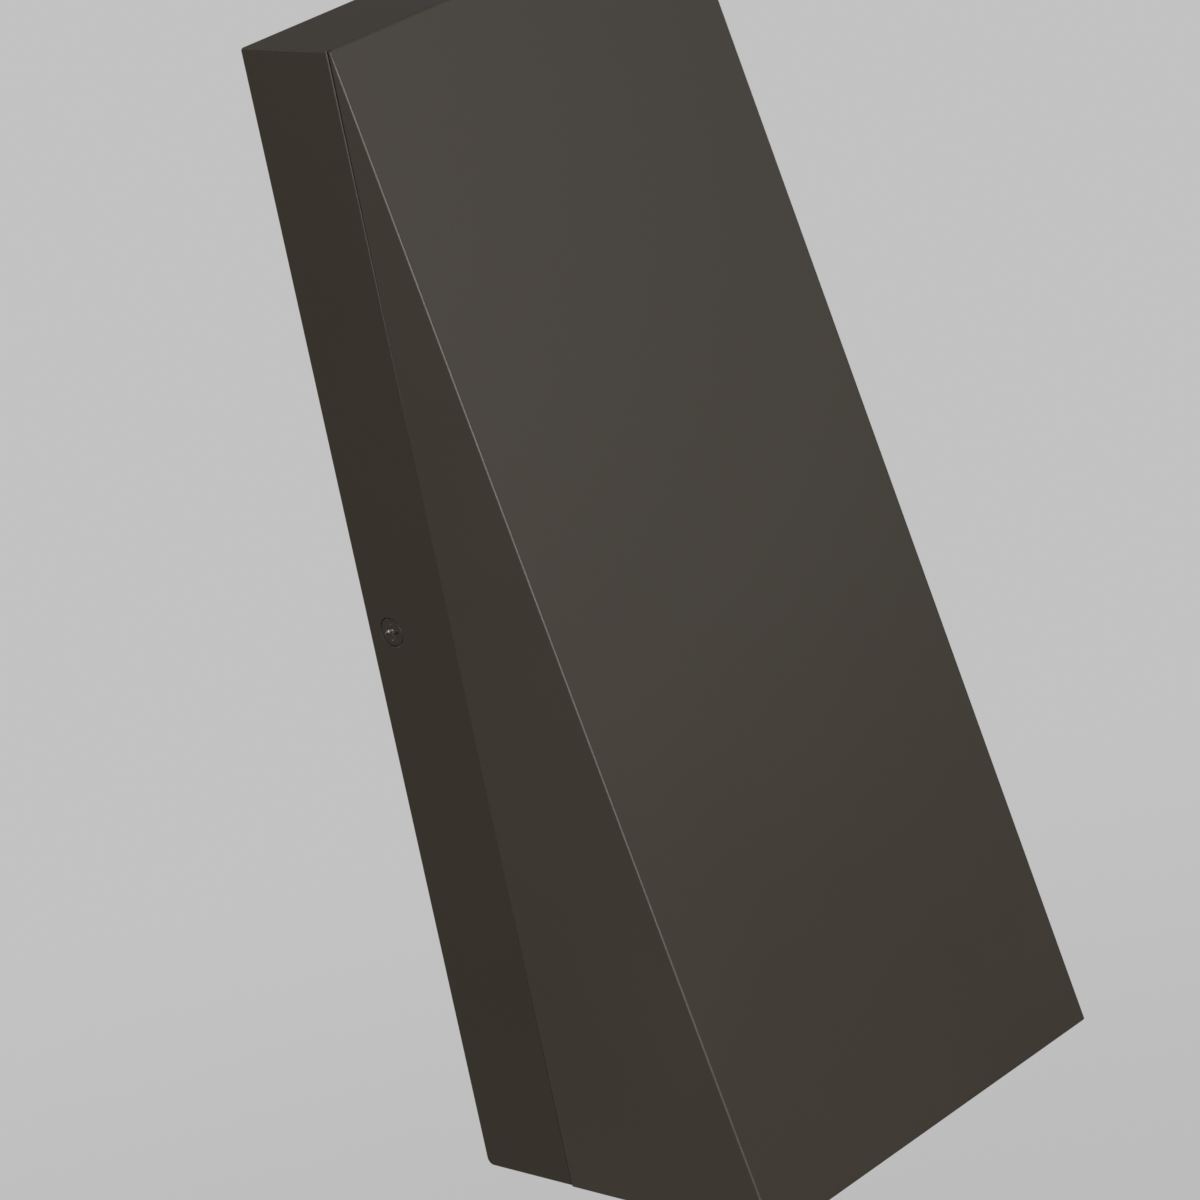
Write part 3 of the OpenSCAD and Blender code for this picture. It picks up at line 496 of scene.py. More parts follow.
@dataclass(frozen=True)
class BoardMask(Finish):
    """Circuit board: mask over raised copper tracks, with bare soldered pads."""

    track: Colour = (0.1, 0.3, 0.1)
    pitch: float = 3.2
    solder: Colour = (0.6, 0.58, 0.55)
    bend_cell: float = 14.0
    weave_cell: float = 0.6

    def dress(self, graph: Graph) -> None:
        """Lays tracks along the board, steps them across it and dots them with pads.

        Args:
            graph: the new material's nodes.
        """
        across, _, up = graph.axes()
        bend = graph.noise(self.bend_cell, 0).step(0.47, 0.53)
        along = (across + bend * (self.pitch / 2)).off_centre(self.pitch).size()
        tracks = along.step(self.pitch * 0.26, self.pitch * 0.22)
        row = up.off_centre(self.pitch * 3).size()
        pads = (along * along + row * row).step(0.9, 0.7)
        weave = graph.noise(self.weave_cell, 1)
        plain = graph.mix(weave, shade(self.colour, 0.9), shade(self.colour, 1.1))
        graph.surface(
            Base_Color=graph.mix(pads, graph.mix(tracks, plain, self.track), self.solder),
            Metallic=pads * 0.9,
            Roughness=self.roughness + weave * 0.06 + pads * 0.1,
            Normal=graph.relief(tracks * 0.04 + pads * 0.05 + weave * 0.004))


@dataclass(frozen=True)
class WindingTape(Finish):
    """Thin tape wound over a core, in laps with slightly lifted edges."""

    lap: float = 4.5
    lifted: float = 0.35
    wrinkle_cell: float = 1.6
    wrinkle_stretch: tuple[float, float, float] = (4, 4, 1)

    def dress(self, graph: Graph) -> None:
        """Winds the laps up the core with a wrinkle here and there.

        Args:
            graph: the new material's nodes.
        """
        _, _, up = graph.axes()
        edge = up.off_centre(self.lap).size().step(self.lap / 2 - self.lifted, self.lap / 2)
        wrinkle = graph.noise(self.wrinkle_cell, 3, self.wrinkle_stretch)
        graph.surface(
            Base_Color=graph.mix(edge * 0.7 + wrinkle * 0.2, self.colour, shade(self.colour, 0.55)),
            Roughness=self.roughness + wrinkle * 0.12,
            Normal=graph.relief(edge * 0.05 + wrinkle * 0.06))


@dataclass(frozen=True)
class LeadSleeve(Finish):
    """Sleeve of a lead, in the colour that its own mesh carries, with faint extrusion lines."""

    scuff_cell: float = 1.1
    line_cell: float = 0.3
    line_stretch: tuple[float, float, float] = (1, 1, 12)

    def dress(self, graph: Graph) -> None:
        """Takes the colour from the mesh and scuffs it.

        Args:
            graph: the new material's nodes.
        """
        own = graph.add("ShaderNodeAttribute", {"attribute_name": SLEEVE_COLOUR}, output="Color")
        scuff = graph.noise(self.scuff_cell, 3).step(0.55, 0.75)
        drawn = graph.noise(self.line_cell, 2, self.line_stretch)
        graph.surface(
            Base_Color=graph.mix(scuff * 0.12, own, self.colour),
            Roughness=self.roughness + scuff * 0.12 + (drawn - 0.5) * 0.08,
            Normal=graph.relief(drawn * 0.006))


@dataclass(frozen=True)
class Capacitor(Finish):
    """Shrink sleeve over a can whose aluminium top stays bare at the front."""

    face: float = 50.0
    bare: Colour = (0.6, 0.6, 0.61)
    edge: tuple[float, float] = (0.35, 0.3)
    sleeve_cell: float = 2.0
    sleeve_stretch: tuple[float, float, float] = (1, 5, 1)
    grain_cell: float = 0.3

    def dress(self, graph: Graph) -> None:
        """Leaves all that is near the front bare and wraps the rest.

        Args:
            graph: the new material's nodes.
        """
        _, depth, _ = graph.axes()
        top = (depth * -1).step(self.face - self.edge[0], self.face - self.edge[1])
        sleeve = graph.noise(self.sleeve_cell, 2, self.sleeve_stretch)
        wrapped = graph.mix(sleeve, shade(self.colour, 0.8), shade(self.colour, 1.3))
        graph.surface(
            Base_Color=graph.mix(top, wrapped, self.bare),
            Metallic=top,
            Roughness=self.roughness + sleeve * 0.1,
            Normal=graph.relief(sleeve * 0.02 + graph.noise(self.grain_cell, 2) * 0.004))


@dataclass(frozen=True)
class LightChip(Finish):
    """White package with a round pool of yellow phosphor."""

    pitch: float = 9.0
    middle: float = -63.91
    row: float = 7.5
    pool: float = 1.15
    package: Colour = (0.82, 0.82, 0.8)
    grit_cell: float = 0.12

    def dress(self, graph: Graph) -> None:
        """Draws one pool in the middle of every chip.

        Args:
            graph: the new material's nodes.
        """
        across, depth, _ = graph.axes()
        aside = across.off_centre(self.pitch)
        away = (depth - self.middle).size() - self.row
        inside = (aside * aside + away * away).step(self.pool ** 2 * 1.1, self.pool ** 2 * 0.9)
        grit = graph.noise(self.grit_cell, 2)
        glow = graph.mix(grit, shade(self.colour, 0.85), shade(self.colour, 1.1))
        graph.surface(
            Base_Color=graph.mix(inside, self.package, glow),
            Roughness=self.roughness + inside * 0.2 + grit * 0.06,
            Normal=graph.relief(grit * 0.006 - inside * 0.05))


@dataclass(frozen=True)
class FrostedGlass(Finish):
    """Acid-frosted glass: milky, with a fine etched tooth and slow waves."""

    tooth_cell: float = 0.18
    wave_cell: float = 16.0
    clear: float = 0.55
    bending: float = 1.5

    def dress(self, graph: Graph) -> None:
        """Etches the surface.

        Args:
            graph: the new material's nodes.
        """
        tooth = graph.noise(self.tooth_cell, 2)
        waves = graph.noise(self.wave_cell, 1)
        graph.surface(
            Base_Color=graph.mix(waves, shade(self.colour, 0.96), shade(self.colour, 1.03)),
            Roughness=self.roughness + (tooth - 0.5) * 0.2,
            Transmission_Weight=self.clear,
            IOR=self.bending,
            Normal=graph.relief(tooth * 0.006 + waves * 0.04))


HOUSING_PAINT = HousingCoat("housing_paint", (0.0466, 0.0367, 0.0258), 0.33)
COVER_PAINT = PowderCoat("cover_paint", (0.0593, 0.0483, 0.0349), 0.33)
FRAME_PAINT = PowderCoat("frame_paint", (0.052, 0.042, 0.03), 0.4)
DARK_SCREW = WornCoat("dark_screw", (0.044, 0.035, 0.026), 0.32)
PLAIN_SCREW = Plating("plain_screws", (0.60, 0.59, 0.56), 0.3, (1, 1, 6))
PLATED_STEEL = Plating("plated_steel", (0.56, 0.55, 0.5), 0.36)
GREEN_SCREW = Plating("green_screw", (0.03, 0.24, 0.08), 0.36, (1, 1, 6))
BLACK_FOAM = Foam("black_foam", (0.022, 0.022, 0.023), 0.95)
BLACK_RUBBER = Moulded("black_rubber", (0.022, 0.022, 0.022), 0.62, 0.01, 0.8)
TERMINAL_PLASTIC = Moulded("terminal_plastic", (0.72, 0.71, 0.66), 0.45, 0.01, 0.6, 0.05)
BRASS = Plating("brass_clamps", (0.62, 0.43, 0.17), 0.32)
VENT_PLASTIC = Moulded("vent_plastic", (0.024, 0.024, 0.026), 0.5, 0.014, 0.4)
DRIVER_PLASTIC = Moulded("driver_plastic", (0.035, 0.035, 0.04), 0.55, 0.03, 0.7)
GREEN_BOARD = BoardMask("green_board", (0.012, 0.11, 0.035), 0.3, (0.05, 0.26, 0.09), 2.4)
YELLOW_TAPE = WindingTape("yellow_tape", (0.6, 0.42, 0.05), 0.35)
CAPACITOR = Capacitor("capacitor_sleeve", (0.02, 0.026, 0.08), 0.3)
LEAD_SLEEVE = LeadSleeve("lead_sleeve", (0.25, 0.25, 0.25), 0.38)
WHITE_PLASTIC = Moulded("white_plastic", (0.74, 0.73, 0.68), 0.45, 0.01, 0.6, 0.05)
RAW_ALUMINIUM = Plating("raw_aluminium", (0.66, 0.67, 0.68), 0.38, (30, 1, 1))
GREY_PAD = Moulded("grey_pad", (0.33, 0.35, 0.41), 0.7, 0.03, 0.9)
WHITE_BOARD = BoardMask("white_board", (0.78, 0.78, 0.76), 0.32, (0.7, 0.7, 0.68), 4.5)
PHOSPHOR = LightChip("phosphor", (0.85, 0.66, 0.16), 0.4)
WHITE_REFLECTOR = Moulded("white_reflector", (0.83, 0.83, 0.82), 0.28, 0.006, 1.2, 0.05)
FROSTED_GLASS = FrostedGlass("frosted_glass", (0.86, 0.88, 0.87), 0.5)
CLEAR_SILICONE = Moulded("clear_silicone", (0.52, 0.52, 0.5), 0.4, 0.02, 1.5, 0.3)


# Shapes


class Facing(Enum):
    """Where the top of an upright shape points once it is stood in place."""

    LEFT = (-1, 0, 0)
    RIGHT = (1, 0, 0)
    WALL = (0, 1, 0)
    FRONT = (0, -1, 0)
    DOWN = (0, 0, -1)


@dataclass
class Form:
    """A closed surface being made: points in millimetres, four-sided faces, and faces of any shape."""

    points: np.ndarray
    quads: np.ndarray
    caps: list[np.ndarray] = field(default_factory=list)

    def __add__(self, other: "Form") -> "Form":
        """Joins two forms.

        Args:
            other: the other form.

        Returns:
            Both surfaces as one form.
        """
        shift = len(self.points)
        return Form(np.concatenate([self.points, other.points]),
                    np.concatenate([self.quads, other.quads + shift]),
                    self.caps + [cap + shift for cap in other.caps])

    def stood(self, place: tuple[float, float, float], facing: Facing, turn: float = 0.0) -> "Form":
        """Stands a form that was made about the upright axis somewhere else.

        The point (a, b, c) goes to place + a·side + b·over + c·ahead, where ahead is the way it faces,
        and side and over are turned about it.

        Args:
            place: where its origin goes.
            facing: where its top points.
            turn: how far it is turned about its own axis, in degrees.

        Returns:
            A new form.
        """
        ahead = np.array(facing.value, float)
        side = np.array([1.0, 0, 0]) if abs(ahead[2]) == 1 else np.cross([0, 0, 1], ahead)
        over = np.cross(ahead, side)
        angle = math.radians(turn)
        axes = np.array([side * math.cos(angle) + over * math.sin(angle),
                         over * math.cos(angle) - side * math.sin(angle), ahead])
        return Form(self.points @ axes + np.array(place, float), self.quads, self.caps)

    def repeated(self, places: np.ndarray, facing: Facing, turn: float = 0.0) -> "Form":
        """Stands copies of the form at several places.

        Args:
            places: where their origins go.
            facing: where their tops point.
            turn: how far each is turned about its own axis, in degrees.

        Returns:
            All copies as one form.
        """
        one = self.stood((0, 0, 0), facing, turn)
        count, size = len(places), len(one.points)
        shifts = np.arange(count) * size
        return Form(
            (one.points[None] + np.asarray(places, float)[:, None]).reshape(-1, 3),
            (one.quads[None] + shifts[:, None, None]).reshape(-1, 4),
            [cap + shift for shift in shifts for cap in one.caps])


def loft(rings: np.ndarray, closed: bool = False) -> Form:
    """Joins rings of points into a surface.

    Point (i, j) of the grid is joined to its neighbours (i + 1, j) and (i, j + 1), and the last point of
    each ring to its first.

    Args:
        rings: points as rings x points in a ring x 3.
        closed: whether the last ring joins the first. If not, both end rings become flat caps.

    Returns:
        The surface.
    """
    rows, cols = rings.shape[:2]
    index = np.arange(rows * cols).reshape(rows, cols)
    if closed:
        index = np.concatenate([index, index[:1]])
    after = np.roll(index, -1, axis=1)
    quads = np.stack([index[:-1], after[:-1], after[1:], index[1:]], axis=-1).reshape(-1, 4)
    caps = [] if closed else [index[0][::-1].copy(), index[-1].copy()]
    return Form(rings.reshape(-1, 3).astype(float), quads, caps)


def turned(profile: list[tuple[float, float]], bored: bool = False, sides: int = 48) -> Form:
    """Turns a profile about the upright axis: point (i, j) is (r_i·cos a_j, r_i·sin a_j, z_i).

    Args:
        profile: pairs of radius and height, in order.
        bored: whether the profile is a closed loop round a bore.
        sides: points round the axis.

    Returns:
        The turned surface.
    """
    radius, height = np.array(profile, float).T
    angle = np.linspace(0, FULL_TURN, sides, endpoint=False)
    rings = np.stack([radius[:, None] * np.cos(angle), radius[:, None] * np.sin(angle),
                      np.broadcast_to(height[:, None], (len(radius), sides))], axis=-1)
    return loft(rings, closed=bored)


def six_sided(angle: np.ndarray) -> np.ndarray:
    """Returns how far a hexagon reaches: 1 over the cosine of the angle from its nearest flat."""
    sector = math.pi / 3
    return 1 / np.cos((angle + sector / 2) % sector - sector / 2)


def round_corners(corners: np.ndarray, radii: np.ndarray, steps: list[int]) -> np.ndarray:
    """Rounds the corners of closed outlines.

    Each corner becomes an arc from a tangent point on one side to one on the other, r away from it:
    ((1-t)²·A + √2·t(1-t)·B + t²·C) / ((1-t)² + √2·t(1-t) + t²), which is a true arc at a right angle. The
    radius is held below 0.45 of the shorter side.

    Args:
        corners: outlines x corners x 2.
        radii: outlines x corners.
        steps: how many pieces each corner's arc has.

    Returns:
        Points as outlines x points x 2.
    """
    before = np.roll(corners, 1, axis=1) - corners
    after = np.roll(corners, -1, axis=1) - corners
    length_before = np.linalg.norm(before, axis=2)
    length_after = np.linalg.norm(after, axis=2)
    held = np.minimum(radii, 0.45 * np.minimum(length_before, length_after))
    start = corners + before * (held / np.maximum(length_before, 1e-9))[..., None]
    end = corners + after * (held / np.maximum(length_after, 1e-9))[..., None]
    arcs = []
    for number, count in enumerate(steps):
        t = np.linspace(0, 1, count + 1)[None, :, None]
        weights = (1 - t) ** 2, math.sqrt(2) * t * (1 - t), t ** 2
        spots = start[:, number, None], corners[:, number, None], end[:, number, None]
        arcs.append(sum(w * s for w, s in zip(weights, spots)) / sum(weights))
    return np.concatenate(arcs, axis=1)


def plate(outline: np.ndarray, holes: list[np.ndarray], back: float, front: float) -> Form:
    """A flat plate that faces front, with holes.

    The outlines are joined into flat faces at both depths, and each point (x, z) runs straight from
    (x, back, z) to (x, front, z).

    Args:
        outline: points of the outer outline as pairs across and up.
        holes: outlines of the holes.
        back: depth of the face towards the wall.
        front: depth of the other face.

    Returns:
        The plate.
    """
    loops = [outline, *holes]
    flat = np.concatenate(loops)
    ends = np.cumsum([len(loop) for loop in loops])
    runs = [np.arange(end - len(loop), end) for loop, end in zip(loops, ends)]
    corners = [Vector(point) for point in flat]
    keep_holes, closer_than = 5, 1e-6
    found = geometry.delaunay_2d_cdt(corners, [], [run.tolist() for run in runs], keep_holes, closer_than)
    size = len(flat)
    faces = [np.array(face) for face in found[2]]
    points = np.concatenate([np.stack([flat[:, 0], np.full(size, depth), flat[:, 1]], axis=-1)
                             for depth in (back, front)])
    walls = np.concatenate([np.stack([run, np.roll(run, -1), np.roll(run, -1) + size, run + size], axis=-1)
                            for run in runs])
    return Form(points, walls, faces + [face[::-1] + size for face in faces])


def circle_points(radius: float, centre: tuple[float, float], count: int = 24) -> np.ndarray:
    """Returns points round a circle: centre + radius·(cos a, sin a)."""
    angle = np.linspace(0, FULL_TURN, count, endpoint=False)
    return np.stack([centre[0] + radius * np.cos(angle), centre[1] + radius * np.sin(angle)], axis=-1)


def tube(route: np.ndarray, radius: float, sides: int = 16) -> Form:
    """A round tube along a route.

    Each ring is p + r·(cos a·u + sin a·v), where u and v are square to the route's direction d. The first
    u is d × a slanting line, each later one is the one before it less its part along d, and v = d × u.

    Args:
        route: points along the middle of the tube.
        radius: the tube's radius.
        sides: points round it.

    Returns:
        The tube.
    """
    ahead = np.gradient(route, axis=0)
    ahead /= np.linalg.norm(ahead, axis=1, keepdims=True)
    angle = np.linspace(0, FULL_TURN, sides, endpoint=False)
    slanting = [0.31, 0.95, 0.0]
    frames = [np.cross(ahead[0], slanting)]
    for step in ahead[1:]:
        frames.append(frames[-1] - step * (frames[-1] @ step))
    side = np.array(frames)
    side /= np.linalg.norm(side, axis=1, keepdims=True)
    over = np.cross(ahead, side)
    rings = route[:, None] + radius * (np.cos(angle)[None, :, None] * side[:, None]
                                       + np.sin(angle)[None, :, None] * over[:, None])
    return loft(rings)


def bent_route(corners: list[tuple[float, float, float]], bend: float) -> np.ndarray:
    """Rounds the corners of a lead's route, each by (1-t)²·A + 2t(1-t)·B + t²·C.

    Args:
        corners: the route's corners.
        bend: how far from each corner its bend begins.

    Returns:
        Points along the route.
    """
    spots = np.array(corners, float)
    pieces = 12
    t = np.linspace(0, 1, pieces + 1)[:, None]
    parts = [spots[:1]]
    for before, here, after in zip(spots[:-2], spots[1:-1], spots[2:]):
        start = here + (before - here) * bend / np.linalg.norm(before - here)
        end = here + (after - here) * bend / np.linalg.norm(after - here)
        parts.append((1 - t) ** 2 * start + 2 * t * (1 - t) * here + t ** 2 * end)
    return np.concatenate([*parts, spots[-1:]])


def rounded_off(first: np.ndarray, second: np.ndarray,
                radius: np.ndarray | float) -> tuple[np.ndarray, np.ndarray]:
    """Rounds the edge between two faces by pulling in the points that stand beyond its arc.

    With a and b the distances beyond two lines that lie r inside the faces, both above 0 in the corner,
    the new distances are a·s and b·s, where s = min(1, r / √(a² + b²)).

    Args:
        first: the points' distances beyond the first face, below 0 inside it.
        second: their distances beyond the second face.
        radius: the arc's radius.

    Returns:
        The new distances beyond both faces.
    """
    a, b = first + radius, second + radius
    scale = np.where((a > 0) & (b > 0), np.minimum(1, radius / np.maximum(np.hypot(a, b), 1e-9)), 1)
    return a * scale - radius, b * scale - radius


# Meshes and pieces


def mesh_object(name: str, form: Form, tints: np.ndarray | None = None) -> bpy.types.Object:
    """Puts a form into a mesh, in metres, with its faces turned outwards.

    Args:
        name: the piece's name.
        form: the finished form.
        tints: a colour for each point, which the mesh keeps for a lead's sleeve.

    Returns:
        The object.
    """
    mesh = bpy.data.meshes.new(name)
    mesh.vertices.add(len(form.points))
    mesh.vertices.foreach_set("co", (form.points * MM).ravel())
    corners = np.concatenate([form.quads.ravel(), *form.caps]).astype(np.int32)
    sizes = np.concatenate([np.full(len(form.quads), 4), [len(cap) for cap in form.caps]]).astype(np.int32)
    mesh.loops.add(len(corners))
    mesh.loops.foreach_set("vertex_index", corners)
    mesh.polygons.add(len(sizes))
    mesh.polygons.foreach_set("loop_start", np.cumsum(sizes) - sizes)
    if tints is not None:
        colours = mesh.attributes.new(SLEEVE_COLOUR, "FLOAT_COLOR", "POINT")
        opaque = np.ones((len(tints), 1))
        colours.data.foreach_set("color", np.concatenate([tints, opaque], axis=1).ravel())
    mesh.update(calc_edges=True)
    mesh.validate()
    work = bmesh.new()
    work.from_mesh(mesh)
    bmesh.ops.recalc_face_normals(work, faces=work.faces)
    work.to_mesh(mesh)
    work.free()
    made = bpy.data.objects.new(name, mesh)
    bpy.context.scene.collection.objects.link(made)
    return made


def box_in_mm(node: str) -> np.ndarray:
    """Returns a solid's lowest and highest corner, in millimetres."""
    return np.array([tuple(corner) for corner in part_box(node)]) / MM


def merged_copy(node: str, name: str) -> bpy.types.Object:
    """Copies a node's mesh, merges its loose triangles and joins its flat faces.

    Args:
        node: the solid to copy.
        name: the new piece's name.

    Returns:
        The new object.
    """
    same_point, flat_angle = 0.002 * MM, math.radians(0.6)
    mesh = bpy.data.meshes.new(name)
    work = bmesh.new()
    work.from_mesh(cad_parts[node].data)
    bmesh.ops.remove_doubles(work, verts=work.verts, dist=same_point)
    bmesh.ops.dissolve_limit(work, angle_limit=flat_angle, verts=work.verts, edges=work.edges)
    for layer in list(work.loops.layers.uv):
        work.loops.layers.uv.remove(layer)
    work.to_mesh(mesh)
    work.free()
    for kept in ("custom_normal", "sharp_face", "sharp_edge"):
        if kept in mesh.attributes:
            mesh.attributes.remove(mesh.attributes[kept])
    made = bpy.data.objects.new(name, mesh)
    bpy.context.scene.collection.objects.link(made)
    return made


def corners_of(mesh: bpy.types.Mesh) -> np.ndarray:
    """Reads a mesh's points.

    Args:
        mesh: the mesh.

    Returns:
        Points x 3, in metres.
    """
    spots = np.empty(len(mesh.vertices) * 3)
    mesh.vertices.foreach_get("co", spots)
    return spots.reshape(-1, 3)


def move_corners(mesh: bpy.types.Mesh, spots: np.ndarray) -> None:
    """Puts a mesh's points at new places, in metres."""
    mesh.vertices.foreach_set("co", spots.ravel())
    mesh.update()


def eased(piece: bpy.types.Object, edge: float, segments: int, angle: float | None = None) -> None:
    """Rounds a piece's edges and keeps the result as its mesh, held inside the box that it had.

    Args:
        piece: the piece.
        edge: how wide the rounding is, in millimetres, times each edge's weight where no angle is given.
        segments: how many faces go round an edge.
        angle: the least angle of an edge that is rounded, in degrees.
    """
    before = corners_of(piece.data)
    bevel = piece.modifiers.new("eased edges", "BEVEL")
    bevel.width = edge * MM
    bevel.segments = segments
    bevel.limit_method = "WEIGHT" if angle is None else "ANGLE"
    bevel.use_clamp_overlap = angle is not None
    if angle is not None:
        bevel.angle_limit = math.radians(angle)
    graph = bpy.context.evaluated_depsgraph_get()
    mesh = bpy.data.meshes.new_from_object(piece.evaluated_get(graph), depsgraph=graph)
    piece.modifiers.clear()
    piece.data = mesh
    move_corners(mesh, np.clip(corners_of(mesh), before.min(axis=0), before.max(axis=0)))


def smooth(piece: bpy.types.Object, sharp: float = ROUND_SHARP) -> None:
    """Shades a piece smoothly and keeps its flat faces flat.

    Args:
        piece: the piece.
        sharp: the angle over which an edge stays sharp, in degrees.
    """
    piece.data.shade_smooth()
    piece.data.set_sharp_from_angle(angle=math.radians(sharp))
    weigh = piece.modifiers.new("even shading", "WEIGHTED_NORMAL")
    weigh.keep_sharp = True
    weigh.weight = 50


def finish_piece(piece: bpy.types.Object, finish: Finish, *nodes: str, body: str = "light") -> None:
    """Gives a new piece its finish, its body and the solids that it stands for.

    Args:
        piece: the piece, in place.
        finish: its finish, which names the record's slot too.
        nodes: the solids that it replaces.
        body: the body that it moves with.
    """
    piece.data.materials.clear()
    piece.data.materials.append(finish.material())
    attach(piece, body)
    if nodes:
        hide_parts(*nodes)
    LOG.info("%s: %d points for %s, in %s", piece.name, len(piece.data.vertices),
             ", ".join(nodes) or "no solid", finish.slot)


def add_piece(name: str, form: Form, sharp: float, finish: Finish, *nodes: str, body: str = "light",
              tints: np.ndarray | None = None) -> None:
    """Makes a new piece from a form and gives it its finish.

    Args:
        name: the piece's name.
        form: the finished form.
        sharp: the angle over which an edge stays sharp, in degrees.
        finish: its finish.
        nodes: the solids that it replaces.
        body: the body that it moves with.
        tints: a colour for each point of a lead's sleeve.
    """
    piece = mesh_object(name, form, tints)
    smooth(piece, sharp)
    finish_piece(piece, finish, *nodes, body=body)


def soften(node: str, finish: Finish, edge: float, segments: int = 2) -> None:
    """Puts a copy of a solid in its place, with its edges rounded a little, as real ones are.

    Args:
        node: the solid that the piece stands for.
        finish: the piece's finish.
        edge: how wide the rounding is, in millimetres.
        segments: how many faces go round an edge.
    """
    rounded_over = 38
    made = merged_copy(node, node + "_piece")
    eased(made, edge, segments, rounded_over)
    smooth(made)
    finish_piece(made, finish, node)


def paint_node(node: str, finish: Finish) -> None:
    """Gives a solid that stays as it is its finish.

    Args:
        node: the solid.
        finish: its finish.
    """
    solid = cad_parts[node]
    for slot in solid.material_slots:
        slot.material = finish.material()
    if not solid.material_slots:
        solid.data.materials.append(finish.material())
    LOG.info("%s: kept, in %s", node, finish.slot)


# Screws


class Head(Enum):
    """Shapes of a screw's head."""

    FLAT = "flat"
    PAN = "pan"
    WASHER_HEX = "hex"


@dataclass(frozen=True)
class Screw:
    """A screw about the upright axis: the top of its head is at height 0 and its shank hangs below.

    A flat head's worn rim is a short curve, given as steps out from head_r and down from its face.
    """

    head: Head
    head_r: float
    head_t: float
    shank_r: float
    length: float
    cross: float
    cross_arm: float
    cross_deep: float
    pitch: float = 0.5
    sides: int = 48
    rows_per_turn: int = 5
    worn_rim: tuple[tuple[float, float], ...] = (
        (-0.35, 0), (-0.23, -0.02), (-0.14, -0.07), (-0.09, -0.14), (-0.09, -0.19))
    face_share: float = 0.62
    dish: float = 0.02
    edge: float = 0.08

    def head_profile(self) -> tuple[np.ndarray, np.ndarray, int]:
        """Radius and height of the head's rings, from near its middle out and down to the shank.

        Returns:
            The radii, the heights, and how many of the rings belong to the face with the recess.
        """
        face = np.linspace(0.02, self.cross * self.face_share, 20 if self.sides < 64 else 34)
        if self.head is Head.FLAT:
            inner, under = 0.86 * self.head_r, self.shank_r - self.head_r - 0.06
            curve = [[self.head_r + out, up] for out, up in self.worn_rim]
            rim = np.array([[inner, 0], *curve, [self.shank_r + 0.04, under]])
            crown = np.zeros_like(face)
        else:
            bow = np.linspace(0, math.pi / 2, 7)[:, None]
            inner = max(self.face_share * self.head_r, 0.66 * self.cross)
            outer = inner + (self.head_r - inner) * np.sin(bow)
            fall = -self.head_t * 0.75 * (1 - np.cos(bow))
            under = -self.head_t
            rim = np.concatenate([np.concatenate([outer, fall - self.dish], axis=1),
                                  [[self.head_r, under + self.edge], [self.head_r - self.edge, under],
                                   [self.shank_r + 0.05, under]]])
            crown = -self.dish * (face / self.head_r) ** 2
        return np.concatenate([face, rim[:, 0]]), np.concatenate([crown, rim[:, 1]]), len(face)

    def recess(self, x: np.ndarray, y: np.ndarray) -> np.ndarray:
        """Depth of the cross recess at points of the head's face.

        An arm is deep·side·end, where side falls from 1 to 0 over the wall at half the arm's width, and
        end falls from the middle to the arm's tip. The recess is the deeper of its two arms.

        Args:
            x: the points' places along one arm.
            y: the points' places along the other.

        Returns:
            How far each point is below the face.
        """
        wall = 0.16 * self.cross_arm

        def arm(along: np.ndarray, aside: np.ndarray) -> np.ndarray:
            """Works out one arm.

            Args:
                along: the points' places along the arm.
                aside: their places across it.

            Returns:
                Each point's share of the full depth.
            """
            side = np.clip((self.cross_arm / 2 + wall / 2 - np.abs(aside)) / wall, 0, 1)
            end = np.clip((self.cross / 2 - np.abs(along)) / (0.3 * self.cross), 0, 1)
            return side * np.sqrt(end)

        return self.cross_deep * np.maximum(arm(x, y), arm(y, x))

    def form(self) -> Form:
        """The whole screw as one surface.

        Ring i of the head is (r_i·cos a, r_i·sin a, z_i - recess). Ring k of the shank has the radius
        r - h·(1 - cos(2π·z_k / pitch - a)) / 2, which is a ridge that climbs once per pitch. Its depth h
        is half the pitch and fades at both ends, and the tip narrows over its last half millimetre.

        Returns:
            The screw's surface.
        """
        angle = np.linspace(0, FULL_TURN, self.sides, endpoint=False)
        radius, height, face = self.head_profile()
        x, y = radius[:, None] * np.cos(angle), radius[:, None] * np.sin(angle)
        if self.head is Head.WASHER_HEX:
            outside = (radius > self.head_r * 0.6) & (height > 0.05 - self.head_t)
            stretch = 1 + outside.astype(float)[:, None] * (six_sided(angle)[None] * 0.9 - 1)
            x, y = x * stretch, y * stretch
        sunk = self.recess(x, y) * (np.arange(len(radius)) < face)[:, None]
        top = np.stack([x, y, height[:, None] - sunk], axis=-1)

        neck, point = 0.15, 0.5
        start = height[-1] - neck
        turns = (self.length + start) / self.pitch
        down = np.linspace(0, 1, max(4, int(turns * self.rows_per_turn)))
        z = start - down * (self.length + start)
        ridge = 0.5 - 0.5 * np.cos(FULL_TURN * z[:, None] / self.pitch - angle)
        fade = np.clip(np.minimum(down, 1 - down) * turns / 1.5, 0, 1)[:, None]
        deep = 0.5 * self.pitch * fade
        end = np.clip((self.length + z - point) / point, -1, 0)[:, None] * 0.28 * self.shank_r
        around = self.shank_r - deep * ridge + end
        shank = np.stack([around * np.cos(angle), around * np.sin(angle),
                          np.broadcast_to(z[:, None], around.shape)], axis=-1)
        return loft(np.concatenate([top, shank]))


